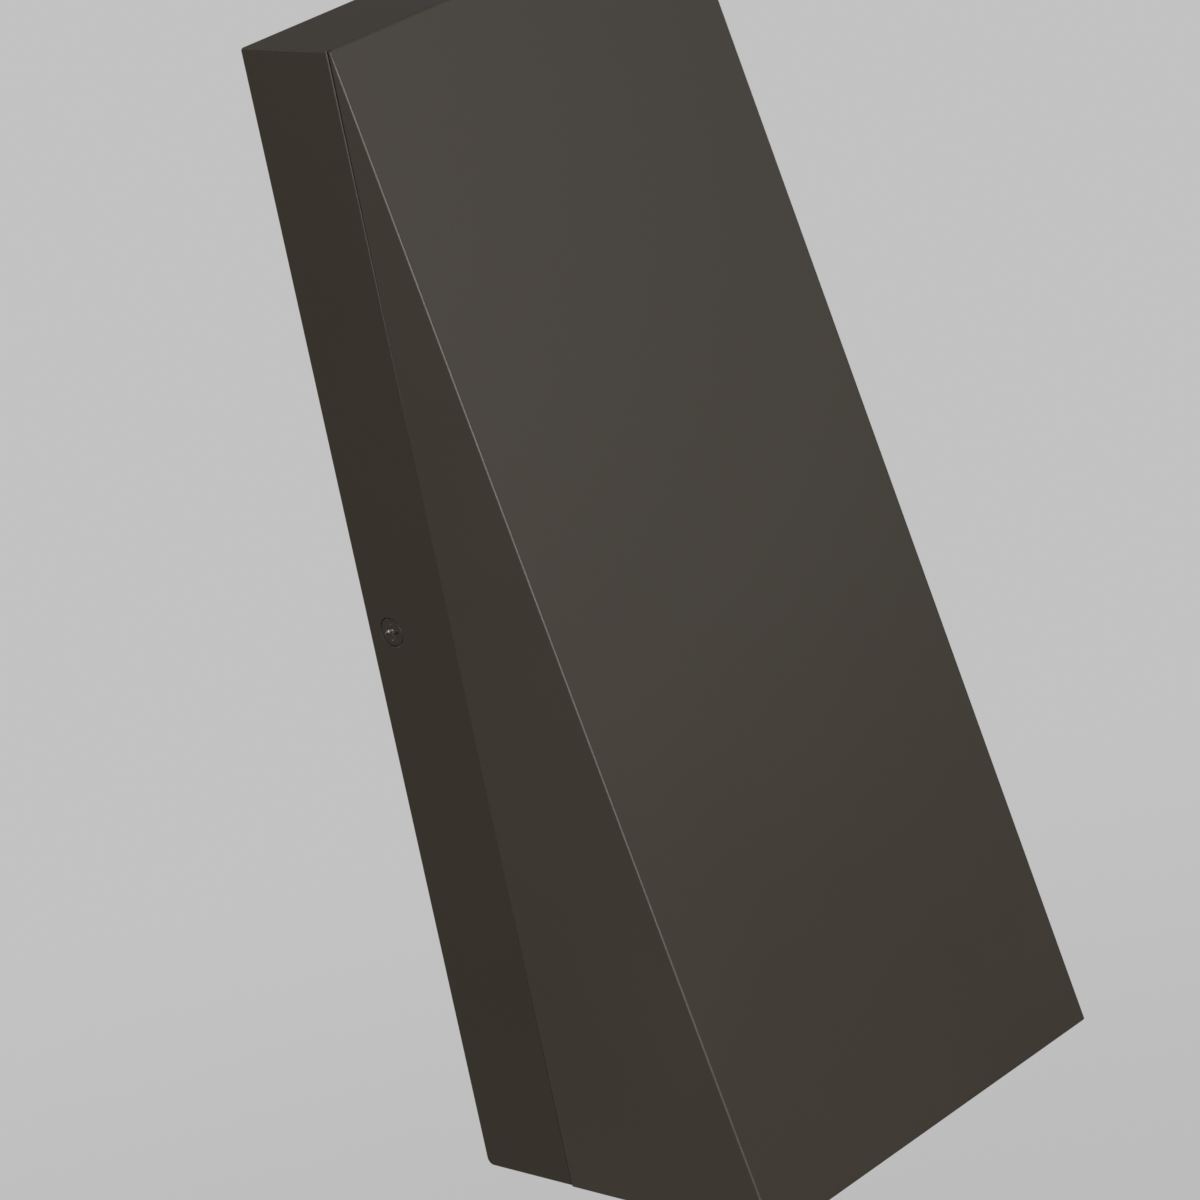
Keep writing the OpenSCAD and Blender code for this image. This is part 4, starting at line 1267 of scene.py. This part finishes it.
SIDE_SCREW = Screw(Head.FLAT, 3.75, 1.75, 2.0, 12.0, 5.0, 1.05, 1.9, pitch=0.7, sides=96, rows_per_turn=8)
GROUND_SCREW = Screw(Head.WASHER_HEX, 3.9, 3.0, 2.0, 7.0, 4.0, 1.0, 1.6, pitch=0.7, rows_per_turn=6)
PAN_SCREW = Screw(Head.PAN, 2.8, 1.8, 1.5, 7.7, 3.08, 0.7, 1.2, sides=32)
BOARD_SCREW = Screw(Head.PAN, 2.8, 1.8, 1.5, 7.7, 3.0, 0.72, 1.15, sides=32)
FRAME_SCREW = Screw(Head.FLAT, 2.8, 1.3, 1.5, 7.7, 3.0, 0.72, 1.15)


def screw_set(name: str, node: str, screw: Screw, finish: Finish, places: np.ndarray, facing: Facing,
              turn: float) -> None:
    """Makes a solid's screws as one piece.

    Args:
        name: the piece's name.
        node: the screws' solids.
        screw: what each screw is like.
        finish: their finish.
        places: where the tops of their heads are.
        facing: where the heads face.
        turn: how far their crosses are turned, in degrees.
    """
    add_piece(name, screw.form().repeated(places, facing, turn), SCREW_SHARP, finish, node)


# Sub-assemblies


@dataclass
class RearHousing:
    """The cast housing on the wall, with eased edges that change along the seam.

    bands are the distances from the outer edges at which rows of points are cut, marks the heights of
    more rows, and seam pairs of a height and how far the seam's edge is rounded there.
    """

    half_w: float = 63.8
    depth: float = 30.3
    half_h: float = 152.4
    wall: float = 2.2
    bottom_r: float = 2.0
    top_r: float = 0.8
    outer_edge: float = 0.45
    front_edge: float = 0.3
    rim_edge: float = 0.12
    boss_top: float = -25.1
    boss_edge: float = 0.3
    seat_depth: float = -8.0
    seat_r: float = 5.0
    seat_edge: float = 0.1
    near: float = 0.02
    least_fold: float = 24.0
    bands: tuple[float, ...] = (0.06, 0.15, 0.3, 0.47, 0.7)
    seam: tuple[tuple[float, float], ...] = (
        (-152.4, 0.16), (-60, 0.06), (-36, 0), (52, 0), (58, 0.35), (75, 0.5), (152.4, 0.7))
    specks_and_shade: tuple[float, ...] = (145, 130, 115, 100, 85, 75, 65, 58, 55, 52, -36, -47, -60, -80, -105, -130)

    def ring_widths(self, middle: np.ndarray) -> np.ndarray:
        """Chooses how wide the edges of seats, bosses and the open rim are eased.

        Args:
            middle: the middles of the edges, in millimetres.

        Returns:
            The width of each edge, in millimetres, or 0.
        """
        x, y, z = np.abs(middle[:, 0]), middle[:, 1], np.abs(middle[:, 2])
        seat = (x > self.half_w - self.near) & (np.hypot(y - self.seat_depth, z) < self.seat_r)
        boss = np.abs(y - self.boss_top) < self.near
        inner_x, inner_z = self.half_w - self.wall, self.half_h - self.wall
        rim = (y > -self.near) & (x < inner_x + self.near) & (z < inner_z + self.near)
        return self.seat_edge * seat + self.boss_edge * boss + self.rim_edge * rim

    def weigh(self, piece: bpy.types.Object) -> None:
        """Marks those edges on the piece, each with its width.

        Args:
            piece: the housing.
        """
        work = bmesh.new()
        work.from_mesh(piece.data)
        weights = work.edges.layers.float.new("bevel_weight_edge")
        least = math.radians(self.least_fold)
        folds = [edge for edge in work.edges if edge.is_convex and edge.calc_face_angle() > least]
        middle = np.array([(edge.verts[0].co + edge.verts[1].co) / 2 for edge in folds]) / MM
        for edge, width in zip(folds, self.ring_widths(middle)):
            edge[weights] = float(width)
        work.to_mesh(piece.data)
        work.free()

    def cut_bands(self, piece: bpy.types.Object) -> None:
        """Cuts rows of points beside the outer edges, so that they can be pulled round.

        Args:
            piece: the housing.
        """
        same_plane = 2e-7
        work = bmesh.new()
        work.from_mesh(piece.data)
        sides = [face for face in work.faces if abs(face.normal.x) > 0.99
                 and abs(face.calc_center_median().x) > (self.half_w - self.near / 2) * MM]
        for wide, narrow in zip(self.bands, (0, *self.bands)):
            bmesh.ops.inset_region(work, faces=sides, thickness=(wide - narrow) * MM,
                                   use_boundary=True, use_even_offset=True)

        planes = [(0, side * (self.half_w - band)) for band in self.bands for side in (-1, 1)]
        planes += [(2, side * (self.half_h - band)) for band in self.bands for side in (-1, 1)]
        planes += [(1, band - self.depth) for band in self.bands]
        for axis, place in planes + [(2, mark) for mark in self.specks_and_shade]:
            normal = Vector([float(axis == number) for number in range(3)])
            bmesh.ops.bisect_plane(work, geom=[*work.verts, *work.edges, *work.faces],
                                   plane_co=normal * (place * MM), plane_no=normal, dist=same_plane)
        work.to_mesh(piece.data)
        work.free()

    def pulled(self, points: np.ndarray) -> np.ndarray:
        """Pulls points that stand out of the rounded block onto it.

        In the profile, a point's distance beyond the core (the block less its corner radius R) is |q - c|,
        so it is |q - c| - R beyond the profile. Two such distances make an edge: see rounded_off.

        Args:
            points: points in millimetres.

        Returns:
            The new points.
        """
        x, y, z = np.abs(points[:, 0]), points[:, 1], points[:, 2]
        radius = np.where(z < 0, self.bottom_r, self.top_r)
        tall = self.half_h - radius
        core = np.stack([np.minimum(y, -radius), np.clip(z, -tall, tall)], axis=1)
        away = points[:, 1:] - core
        reach = np.linalg.norm(away, axis=1)
        x, beyond = rounded_off(x - self.half_w, reach - radius, self.outer_edge)
        y, z = (core + away * ((beyond + radius) / np.maximum(reach, 1e-9))[:, None]).T
        x, front = rounded_off(x, -y - self.depth, np.interp(z, *np.array(self.seam).T))
        rise, front = rounded_off(np.abs(z) - self.half_h, front, self.front_edge)
        return np.stack([np.sign(points[:, 0]) * (x + self.half_w), -front - self.depth,
                         np.sign(z) * (rise + self.half_h)], axis=1)

    def build(self) -> None:
        """Makes the housing from its solid and eases its edges."""
        made = merged_copy("rear_housing", "housing_shell")
        self.weigh(made)
        eased(made, edge=1, segments=2)
        self.cut_bands(made)
        move_corners(made.data, self.pulled(corners_of(made.data) / MM) * MM)
        smooth(made)
        finish_piece(made, HOUSING_PAINT, "rear_housing")


@dataclass
class WedgeCover:
    """The folded cover: two cheeks and a leaning front sheet, its flange, gasket and fixings.

    seam pairs a height with the gap between cheek and housing there, and rows gives the stretches of
    height between the rounded ends, each with its number of sections.
    """

    half_w: float = 63.8
    sheet: float = 1.2
    depth: float = 100.5
    top: float = 152.4
    low: float = -152.7
    housing_depth: float = 30.3
    apex_gap: float = 0.1
    fold_r: float = 0.8
    cheek_edge: float = 0.1
    least_edge: float = 0.15
    end_edge: float = 0.3
    seam: tuple[tuple[float, float], ...] = ((-152.7, 0.25), (-35, 0), (50, 0), (152.4, 0.75))
    rows: tuple[tuple[float, float, int], ...] = (
        (-151.7, -40, 24), (-35, 50, 6), (54, 148, 28), (149, 152.1, 6))
    flange_y: tuple[float, float] = (-30.8, -32.0)
    flange_w: float = 12.0
    flange_z: tuple[float, float] = (-138.0, 131.87)
    low_screw: float = 40.0
    nut_hole_r: float = 2.2
    screw_tip: float = -28.1
    screw_turn: float = 20.0
    nut_profile: tuple[tuple[float, float], ...] = (
        (1.53, 0), (2.0, 0), (2.18, -0.18), (2.18, -1.2), (2.6, -1.2), (2.8, -1.4), (2.8, -3.0),
        (2.6, -3.2), (1.75, -3.2), (1.53, -3.0))

    @property
    def slope(self) -> float:
        """Returns how far the front sheet leans back for each millimetre up."""
        return (self.depth - self.housing_depth - self.apex_gap - self.sheet) / (2 * self.top)

    def front_y(self, z: np.ndarray) -> np.ndarray:
        """Depth of the front face: full at the bottom edge and less by the slope times the rise."""
        return -(self.depth - (z + self.top) * self.slope)

    def sections(self, z: np.ndarray, inset: np.ndarray) -> np.ndarray:
        """Horizontal sections of the sheet, as closed outlines round its whole thickness.

        Each outline has eight corners: out along the left cheek, round the front, back along the right
        cheek, and the same way home inside. All sides move in by the inset.

        Args:
            z: heights of the sections.
            inset: how far each outline shrinks.

        Returns:
            Points as sections x points x 3.
        """
        heights, gaps = np.array(self.seam).T
        gap = np.interp(z, heights, gaps)
        out = self.half_w - inset
        into = self.half_w - self.sheet + inset
        front = self.front_y(z) + inset
        inner = self.front_y(z) + self.sheet * math.hypot(1, self.slope) - inset
        rear = -(self.housing_depth + gap) - inset
        across = np.stack([-out, -out, out, out, into, into, -into, -into], axis=1)
        deep = np.stack([rear, front, front, rear, rear, inner, inner, rear], axis=1)
        edge = self.cheek_edge * np.clip(gap / self.cheek_edge, self.least_edge, 1)
        fold = np.full_like(z, self.fold_r)
        radii = np.stack([edge, fold, fold, edge, edge * 0.6, fold * 0.5, fold * 0.5, edge * 0.6], axis=1)
        cheek, outer, inside = 3, 8, 4
        steps = [cheek, outer, outer, cheek, cheek, inside, inside, cheek]
        flat = round_corners(np.stack([across, deep], axis=-1), radii, steps)
        return np.concatenate([flat, np.broadcast_to(z[:, None, None], (*flat.shape[:2], 1))], axis=-1)

    def sheet_form(self) -> Form:
        """The folded sheet, whose end edges are rounded by sections that shrink as they close.

        Returns:
            The sheet's surface.
        """
        bow = np.linspace(0, math.pi / 2, 5)
        rise, shrink = self.end_edge * (1 - np.cos(bow)), self.end_edge * (1 - np.sin(bow))
        between = np.concatenate([np.linspace(*row) for row in self.rows])
        z = np.concatenate([self.low + rise, between, self.top - rise[::-1] / 2])
        inset = np.concatenate([shrink, np.zeros_like(between), shrink[::-1] / 2])
        return loft(self.sections(z, inset))

    def flange_form(self, places: np.ndarray) -> Form:
        """The turned-in flange: an upright, a top and an upright, with screw holes.

        Args:
            places: where the holes are, as pairs across and up.

        Returns:
            The plate.
        """
        low, high = self.flange_z
        half = self.half_w - self.sheet
        inside, under = half - self.flange_w, high - self.flange_w
        outline = np.array([[-half, low], [-inside, low], [-inside, under], [inside, under], [inside, low],
                            [half, low], [half, high], [-half, high]])
        holes = [circle_points(self.nut_hole_r, tuple(place)) for place in places]
        return plate(outline, holes, *self.flange_y)

    def build(self) -> None:
        """Makes the cover, its flange, nuts, screws and gasket."""
        low, high = self.flange_z[0] + self.low_screw, self.flange_z[1] - self.flange_w / 2
        reach = self.half_w - self.sheet - self.flange_w / 2
        places = np.array([[x, z] for x in (-reach, reach) for z in (low, (low + high) / 2, high)])
        add_piece("cover_sheet", self.sheet_form(), ROUND_SHARP, COVER_PAINT, "wedge_cover")
        add_piece("cover_flange", self.flange_form(places), CRISP_SHARP, COVER_PAINT)
        paint_node("cover_gasket", BLACK_FOAM)
        at_flange = np.insert(places, 1, self.flange_y[0], axis=1)
        nuts = turned(self.nut_profile, bored=True).repeated(at_flange, Facing.WALL)
        add_piece("cover_nut_set", nuts, CRISP_SHARP, PLATED_STEEL, "cover_nuts")
        at_heads = np.insert(places, 1, self.screw_tip + PAN_SCREW.head_t, axis=1)
        screw_set("cover_screw_set", "cover_screws", PAN_SCREW, PLAIN_SCREW, at_heads, Facing.WALL,
                  self.screw_turn)


@dataclass
class SideScrews:
    """The two countersunk screws that hold the housing to the bracket's ears."""

    face_x: float = 63.65
    depth: float = -8.0
    left_turn: float = 4.0
    right_turn: float = 31.0

    def build(self) -> None:
        """Makes both screws, each on its own body."""
        for side, x, facing, turn in (("left", -self.face_x, Facing.LEFT, self.left_turn),
                                      ("right", self.face_x, Facing.RIGHT, self.right_turn)):
            screw = SIDE_SCREW.form().stood((x, self.depth, 0), facing, turn)
            add_piece(f"{side}_screw_piece", screw, SCREW_SHARP, DARK_SCREW, f"{side}_side_screw",
                      body=f"{side}_screw")


@dataclass
class BracketGroup:
    """The wall bracket with its gasket, pressed nuts and earth screw."""

    bracket_edge: float = 0.22
    gasket_edge: float = 0.3
    washer_edge: float = 0.15
    nut_edge: float = 0.2
    screw_turn: float = 12.0

    def build(self) -> None:
        """Makes the bracket's own pieces."""
        soften("wall_bracket", PLATED_STEEL, self.bracket_edge)
        soften("wall_gasket", BLACK_FOAM, self.gasket_edge)
        soften("ground_washer", PLATED_STEEL, self.washer_edge)
        soften("ear_nuts", PLATED_STEEL, self.nut_edge)
        low, high = box_in_mm("ground_screw")
        place = np.array([[(low[0] + high[0]) / 2, low[1], 0]])
        screw_set("ground_screw_piece", "ground_screw", GROUND_SCREW, GREEN_SCREW, place, Facing.FRONT,
                  self.screw_turn)


@dataclass
class Wiring:
    """Terminals, leads and the parts that guide them."""

    lead_r: float = 1.0
    bend: float = 4.0
    lead_y: float = -38.3
    tail_y: float = -20.0
    supply_z: tuple[float, ...] = (9.4, 34.4, 61, 69.5)
    led_z: tuple[float, ...] = (-70.6, -89.6, -92.6, -128.7)
    led_end_x: float = -48.0
    block_screw_l: float = 11.1
    screw_turn: float = 33.0
    poles: tuple[float, ...] = (-9, 0, 9)
    supply_x: tuple[float, ...] = (11.65, 14, 16.35)
    led_x: tuple[float, ...] = (-16, -12.8)
    led_y: tuple[float, ...] = (-60.21, -63.61)
    led_down: tuple[float, ...] = (0, 3.2)
    notch_x: float = -56.2
    supply_tints: tuple[Colour, ...] = ((0.012, 0.012, 0.013), (0.72, 0.71, 0.68), (0.03, 0.26, 0.06))
    led_tints: tuple[Colour, ...] = ((0.42, 0.012, 0.01), (0.012, 0.012, 0.013))
    terminal_block_edge: float = 0.35
    terminal_clamps_edge: float = 0.12
    lead_grommet_edge: float = 0.5
    lead_bush_edge: float = 0.4
    lead_clips_edge: float = 0.35
    breather_vent_edge: float = 0.25
    breather_nut_edge: float = 0.3

    def lead_set(self, name: str, routes: list[np.ndarray], tints: tuple[Colour, ...], node: str) -> None:
        """Makes a set of leads as one piece, each in its own colour.

        Args:
            name: the piece's name.
            routes: the leads' routes.
            tints: the leads' colours.
            node: the leads' solids.
        """
        tubes = [tube(route, self.lead_r) for route in routes]
        whole = tubes[0]
        for more in tubes[1:]:
            whole = whole + more
        colours = np.concatenate([np.tile(tint, (len(one.points), 1)) for tint, one in zip(tints, tubes)])
        add_piece(name, whole, ROUND_SHARP, LEAD_SLEEVE, node, tints=colours)

    def supply_route(self, x: float, pole: float) -> np.ndarray:
        """Leads one supply lead from the driver up and back to its terminal.

        Args:
            x: where it leaves the driver.
            pole: where its terminal is.

        Returns:
            Points along the route.
        """
        start, turn, near, end = self.supply_z
        return bent_route([(x, self.lead_y, start), (x, self.lead_y, turn), (x, self.tail_y, turn),
                           (pole, self.tail_y, near), (pole, self.tail_y, end)], self.bend)

    def led_route(self, x: float, y: float, down: float) -> np.ndarray:
        """Leads one lead from the driver past the heat sink to the connector.

        Args:
            x: where it leaves the driver.
            y: its depth at the heat sink.
            down: how much lower than the other lead it turns.

        Returns:
            Points along the route.
        """
        start, turn, notch, end = self.led_z
        return bent_route([(x, self.lead_y, start), (x, self.lead_y, turn - down),
                           (self.notch_x, y, notch - down), (self.notch_x, y, end),
                           (self.led_end_x, y, end)], self.bend)

    def build(self) -> None:
        """Makes the leads, the terminals and their guides."""
        supply = [self.supply_route(*ends) for ends in zip(self.supply_x, self.poles)]
        self.lead_set("supply_lead_set", supply, self.supply_tints, "input_leads")
        led = [self.led_route(*ends) for ends in zip(self.led_x, self.led_y, self.led_down)]
        self.lead_set("led_lead_set", led, self.led_tints, "output_leads")
        soften("terminal_block", TERMINAL_PLASTIC, self.terminal_block_edge)
        soften("terminal_clamps", BRASS, self.terminal_clamps_edge)
        low, high = box_in_mm("terminal_block_screws")
        x, z = high[0] - PAN_SCREW.head_r, (low[2] + high[2]) / 2
        pair = np.array([[-x, high[1], z], [x, high[1], z]])
        screw = replace(PAN_SCREW, length=self.block_screw_l)
        screw_set("terminal_screw_set", "terminal_block_screws", screw, PLAIN_SCREW, pair, Facing.WALL,
                  self.screw_turn)
        soften("lead_grommet", BLACK_RUBBER, self.lead_grommet_edge, segments=3)
        soften("lead_bush", BLACK_RUBBER, self.lead_bush_edge, segments=3)
        soften("lead_clips", WHITE_PLASTIC, self.lead_clips_edge)
        soften("breather_vent", VENT_PLASTIC, self.breather_vent_edge)
        soften("breather_nut", VENT_PLASTIC, self.breather_nut_edge)


@dataclass
class Driver:
    """The closed driver and what is inside it.

    can_top is the profile of a capacitor's top, pairs of radius and height from its middle out: the
    dish, the sleeve's rolled edge, the corner and the groove below it.
    """

    can_r: float = 4.5
    can_foot: float = 0.3
    can_sharp: float = 40.0
    can_top: tuple[tuple[float, float], ...] = (
        (0.05, 0.12), (2.9, 0.12), (3.1, 0.0), (3.5, 0.0), (3.9, 0.12), (4.3, 0.2), (4.5, 0.5), (4.5, 1.6),
        (4.25, 1.9), (4.25, 2.4), (4.5, 2.7))
    screw_turn: float = 40.0
    driver_case_edge: float = 0.5
    driver_lid_edge: float = 0.4
    driver_board_edge: float = 0.1
    driver_transformer_edge: float = 0.5

    def build(self) -> None:
        """Makes the driver's pieces."""
        soften("driver_case", DRIVER_PLASTIC, self.driver_case_edge, segments=3)
        soften("driver_lid", DRIVER_PLASTIC, self.driver_lid_edge, segments=3)
        soften("driver_board", GREEN_BOARD, self.driver_board_edge)
        soften("driver_transformer", YELLOW_TAPE, self.driver_transformer_edge, segments=3)
        low, high = box_in_mm("driver_capacitors")
        tall = high[1] - low[1]
        foot = [(self.can_r, tall - self.can_foot), (self.can_r - self.can_foot, tall)]
        can = turned([*self.can_top, *foot])
        places = np.array([[side * (high[0] - self.can_r), low[1], up] for side in (-1, 1)
                           for up in (low[2] + self.can_r, high[2] - self.can_r)])
        cans = can.repeated(places, Facing.WALL)
        add_piece("capacitor_set", cans, self.can_sharp, CAPACITOR, "driver_capacitors")
        low, high = box_in_mm("driver_screws")
        screw = replace(PAN_SCREW, length=high[1] - low[1])
        pair = np.array([[0, low[1], low[2] + screw.head_r], [0, low[1], high[2] - screw.head_r]])
        screw_set("driver_screw_set", "driver_screws", screw, PLAIN_SCREW, pair, Facing.FRONT,
                  self.screw_turn)


@dataclass
class LightModule:
    """Everything from the heat sink down to the lens frame in the wedge's mouth."""

    sink_turn: float = 55.0
    board_turn: float = 15.0
    frame_turn: float = 25.0
    heat_sink_edge: float = 0.25
    led_board_edge: float = 0.1
    led_chips_edge: float = 0.15
    lead_connector_edge: float = 0.3
    reflector_edge: float = 0.2
    diffuser_edge: float = 0.4
    lens_frame_edge: float = 0.3
    frame_posts_edge: float = 0.3

    def build(self) -> None:
        """Makes the module's pieces from the top down."""
        soften("heat_sink", RAW_ALUMINIUM, self.heat_sink_edge)
        low, high = box_in_mm("heat_sink_screws")
        screw = replace(PAN_SCREW, length=high[1] - low[1])
        x, z = high[0] - screw.head_r, (low[2] + high[2]) / 2
        three = np.array([[side * x, low[1], z] for side in (-1, 0, 1)])
        screw_set("sink_screw_set", "heat_sink_screws", screw, PLAIN_SCREW, three, Facing.FRONT,
                  self.sink_turn)
        paint_node("thermal_pad", GREY_PAD)
        soften("led_board", WHITE_BOARD, self.led_board_edge)
        soften("led_chips", PHOSPHOR, self.led_chips_edge)
        soften("lead_connector", WHITE_PLASTIC, self.lead_connector_edge)
        soften("reflector", WHITE_REFLECTOR, self.reflector_edge)
        soften("diffuser", FROSTED_GLASS, self.diffuser_edge, segments=3)
        paint_node("diffuser_gasket", CLEAR_SILICONE)
        soften("lens_frame", FRAME_PAINT, self.lens_frame_edge, segments=3)
        soften("frame_posts", PLATED_STEEL, self.frame_posts_edge)
        paint_node("frame_seal", CLEAR_SILICONE)
        self.fasten("board_screw_set", "board_screws", BOARD_SCREW, PLAIN_SCREW, self.board_turn)
        self.fasten("frame_screw_set", "frame_screws", FRAME_SCREW, DARK_SCREW, self.frame_turn)

    def fasten(self, name: str, node: str, screw: Screw, finish: Finish, turn: float) -> None:
        """Makes four screws whose heads face down at the corners of their solids' box.

        Args:
            name: the piece's name.
            node: the screws' solids.
            screw: what each screw is like, apart from its length.
            finish: their finish.
            turn: how far their crosses are turned, in degrees.
        """
        low, high = box_in_mm(node)
        places = np.array([[x, y, low[2]] for x in (low[0] + screw.head_r, high[0] - screw.head_r)
                           for y in (low[1] + screw.head_r, high[1] - screw.head_r)])
        screw_set(name, node, replace(screw, length=high[2] - low[2]), finish, places, Facing.DOWN, turn)


# Studio


@dataclass(frozen=True)
class Lamp:
    """One soft lamp, placed in metres and aimed at the light's middle."""

    name: str
    place: tuple[float, float, float]
    width: float
    height: float
    power: float

    def build(self) -> None:
        """Hangs the lamp."""
        data = bpy.data.lights.new(self.name, "AREA")
        data.shape = "RECTANGLE"
        data.size, data.size_y = self.width, self.height
        data.energy = self.power
        made = bpy.data.objects.new(self.name, data)
        made.location = self.place
        made.rotation_euler = (-Vector(self.place)).to_track_quat("-Z", "Y").to_euler()
        bpy.context.scene.collection.objects.link(made)


@dataclass
class Studio:
    """Pale grey studio with soft lamps and the photograph's camera.

    Places and reaches here are in metres. The camera's right, up and back are its own axes.
    """

    backdrop: float = 0.539
    mirrored: float = 0.25
    ambient: float = 0.1
    floor_z: float = -1.3
    floor_reach: float = 30.0
    floor_fade: tuple[float, float] = (1.0, 3.0)
    floor_glow: float = 0.85
    eye: tuple[float, float, float] = (-0.833802, -0.903464, 0.42487)
    right: tuple[float, float, float] = (0.6665453, -0.7211263, -0.1889291)
    up: tuple[float, float, float] = (0.3750516, 0.1053713, 0.9209958)
    back: tuple[float, float, float] = (-0.6442466, -0.6847436, 0.3406943)
    lens: float = 150.31
    sensor: float = 36.0
    sight: float = 60.0
    lamps: tuple[Lamp, ...] = (
        Lamp("key", (-1.2, -1.15, 0.42), 1.4, 1.4, 19),
        Lamp("edge_strip", (-1.16, -1.07, 0.13), 0.2, 0.8, 4),
        Lamp("right_fill", (1.0, -1.7, 0.45), 1.2, 1.2, 3.4),
        Lamp("right_side", (1.9, 0.1, 0.4), 1.2, 1.2, 7),
        Lamp("rear_fill", (-0.3, 1.9, 0.6), 1.2, 1.2, 9),
        Lamp("overhead", (0.1, 0.2, 1.9), 1.2, 1.2, 10.8),
    )

    def camera(self) -> None:
        """Puts the camera where the photograph was taken from."""
        data = bpy.data.cameras.new("camera")
        data.lens = self.lens
        data.sensor_width = self.sensor
        data.clip_end = self.sight
        made = bpy.data.objects.new("camera", data)
        turn = Matrix((self.right, self.up, self.back)).transposed().to_4x4()
        made.matrix_world = Matrix.Translation(self.eye) @ turn
        bpy.context.scene.collection.objects.link(made)
        bpy.context.scene.camera = made

    def shown_grey(self, graph: Graph) -> tuple[Wire, Wire]:
        """Tells the rays that look at the room from those that light it.

        Args:
            graph: the nodes that ask.

        Returns:
            1 for rays that look and 0 for the rest, and the backdrop's grey as those rays find it: full
            for the camera and through glass, and darker in mirrors, as the room round the lens is.
        """
        path = graph.add("ShaderNodeLightPath", output="Is Camera Ray")
        clear = path + path.port("Is Transmission Ray")
        glossy = path.port("Is Glossy Ray")
        grey = clear.step(0, 1) * self.backdrop + glossy * (self.backdrop * self.mirrored)
        return (clear + glossy).step(0, 1), grey

    def sky(self) -> None:
        """Gives the room its even grey and its soft light from all round."""
        world = bpy.data.worlds.new("studio")
        world.use_nodes = True
        world.node_tree.nodes.clear()
        graph = Graph.over(world)
        looks, grey = self.shown_grey(graph)
        lit = graph.add("ShaderNodeBackground", None, {"Strength": self.ambient})
        seen = graph.add("ShaderNodeBackground", None, {"Strength": grey})
        for light in (lit, seen):
            graph.feed(light.socket.node.inputs["Color"], WHITE)
        both = graph.add("ShaderNodeMixShader", None, {0: looks, 1: lit, 2: seen})
        graph.add("ShaderNodeOutputWorld", None, {"Surface": both}, None)
        bpy.context.scene.world = world

    def floor(self) -> None:
        """Lays a wide pale floor that shows the backdrop's grey and keeps a soft shadow near the light."""
        reach, corners = self.floor_reach, ((-1, -1), (1, -1), (1, 1), (-1, 1))
        flat = np.array([[reach * x, reach * y, self.floor_z] for x, y in corners]) / MM
        made = mesh_object("floor", Form(flat, np.array([[0, 1, 2, 3]])))
        graph = Graph("floor")
        looks, grey = self.shown_grey(graph)
        across, depth, _ = graph.axes()
        near_edge, far_edge = ((edge / MM) ** 2 for edge in self.floor_fade)
        far = (across * across + depth * depth).step(near_edge, far_edge)
        graph.surface(Base_Color=(*(self.backdrop,) * 3, 1), Roughness=0.9)
        glow = graph.add("ShaderNodeEmission", None, {"Strength": grey})
        graph.feed(glow.socket.node.inputs["Color"], WHITE)
        amount = looks * (self.floor_glow + far * (1 - self.floor_glow))
        plain = Wire(graph, graph.shader.outputs[0])
        both = graph.add("ShaderNodeMixShader", None, {0: amount, 1: plain, 2: glow})
        graph.feed(graph.tree.nodes["Material Output"].inputs["Surface"], both)
        made.data.materials.append(graph.material)

    def build(self) -> None:
        """Sets up the room, the lamps and the camera."""
        self.camera()
        self.sky()
        self.floor()
        for lamp in self.lamps:
            lamp.build()
        bpy.context.scene.view_settings.view_transform = "Standard"


def main() -> None:
    """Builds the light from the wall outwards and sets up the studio."""
    logging.basicConfig(level=logging.INFO, format="%(message)s")
    for kind in (RearHousing, WedgeCover, SideScrews, BracketGroup, Wiring, Driver, LightModule, Studio):
        LOG.info("building %s", kind.__name__)
        kind().build()


if __name__ == "__main__":
    main()
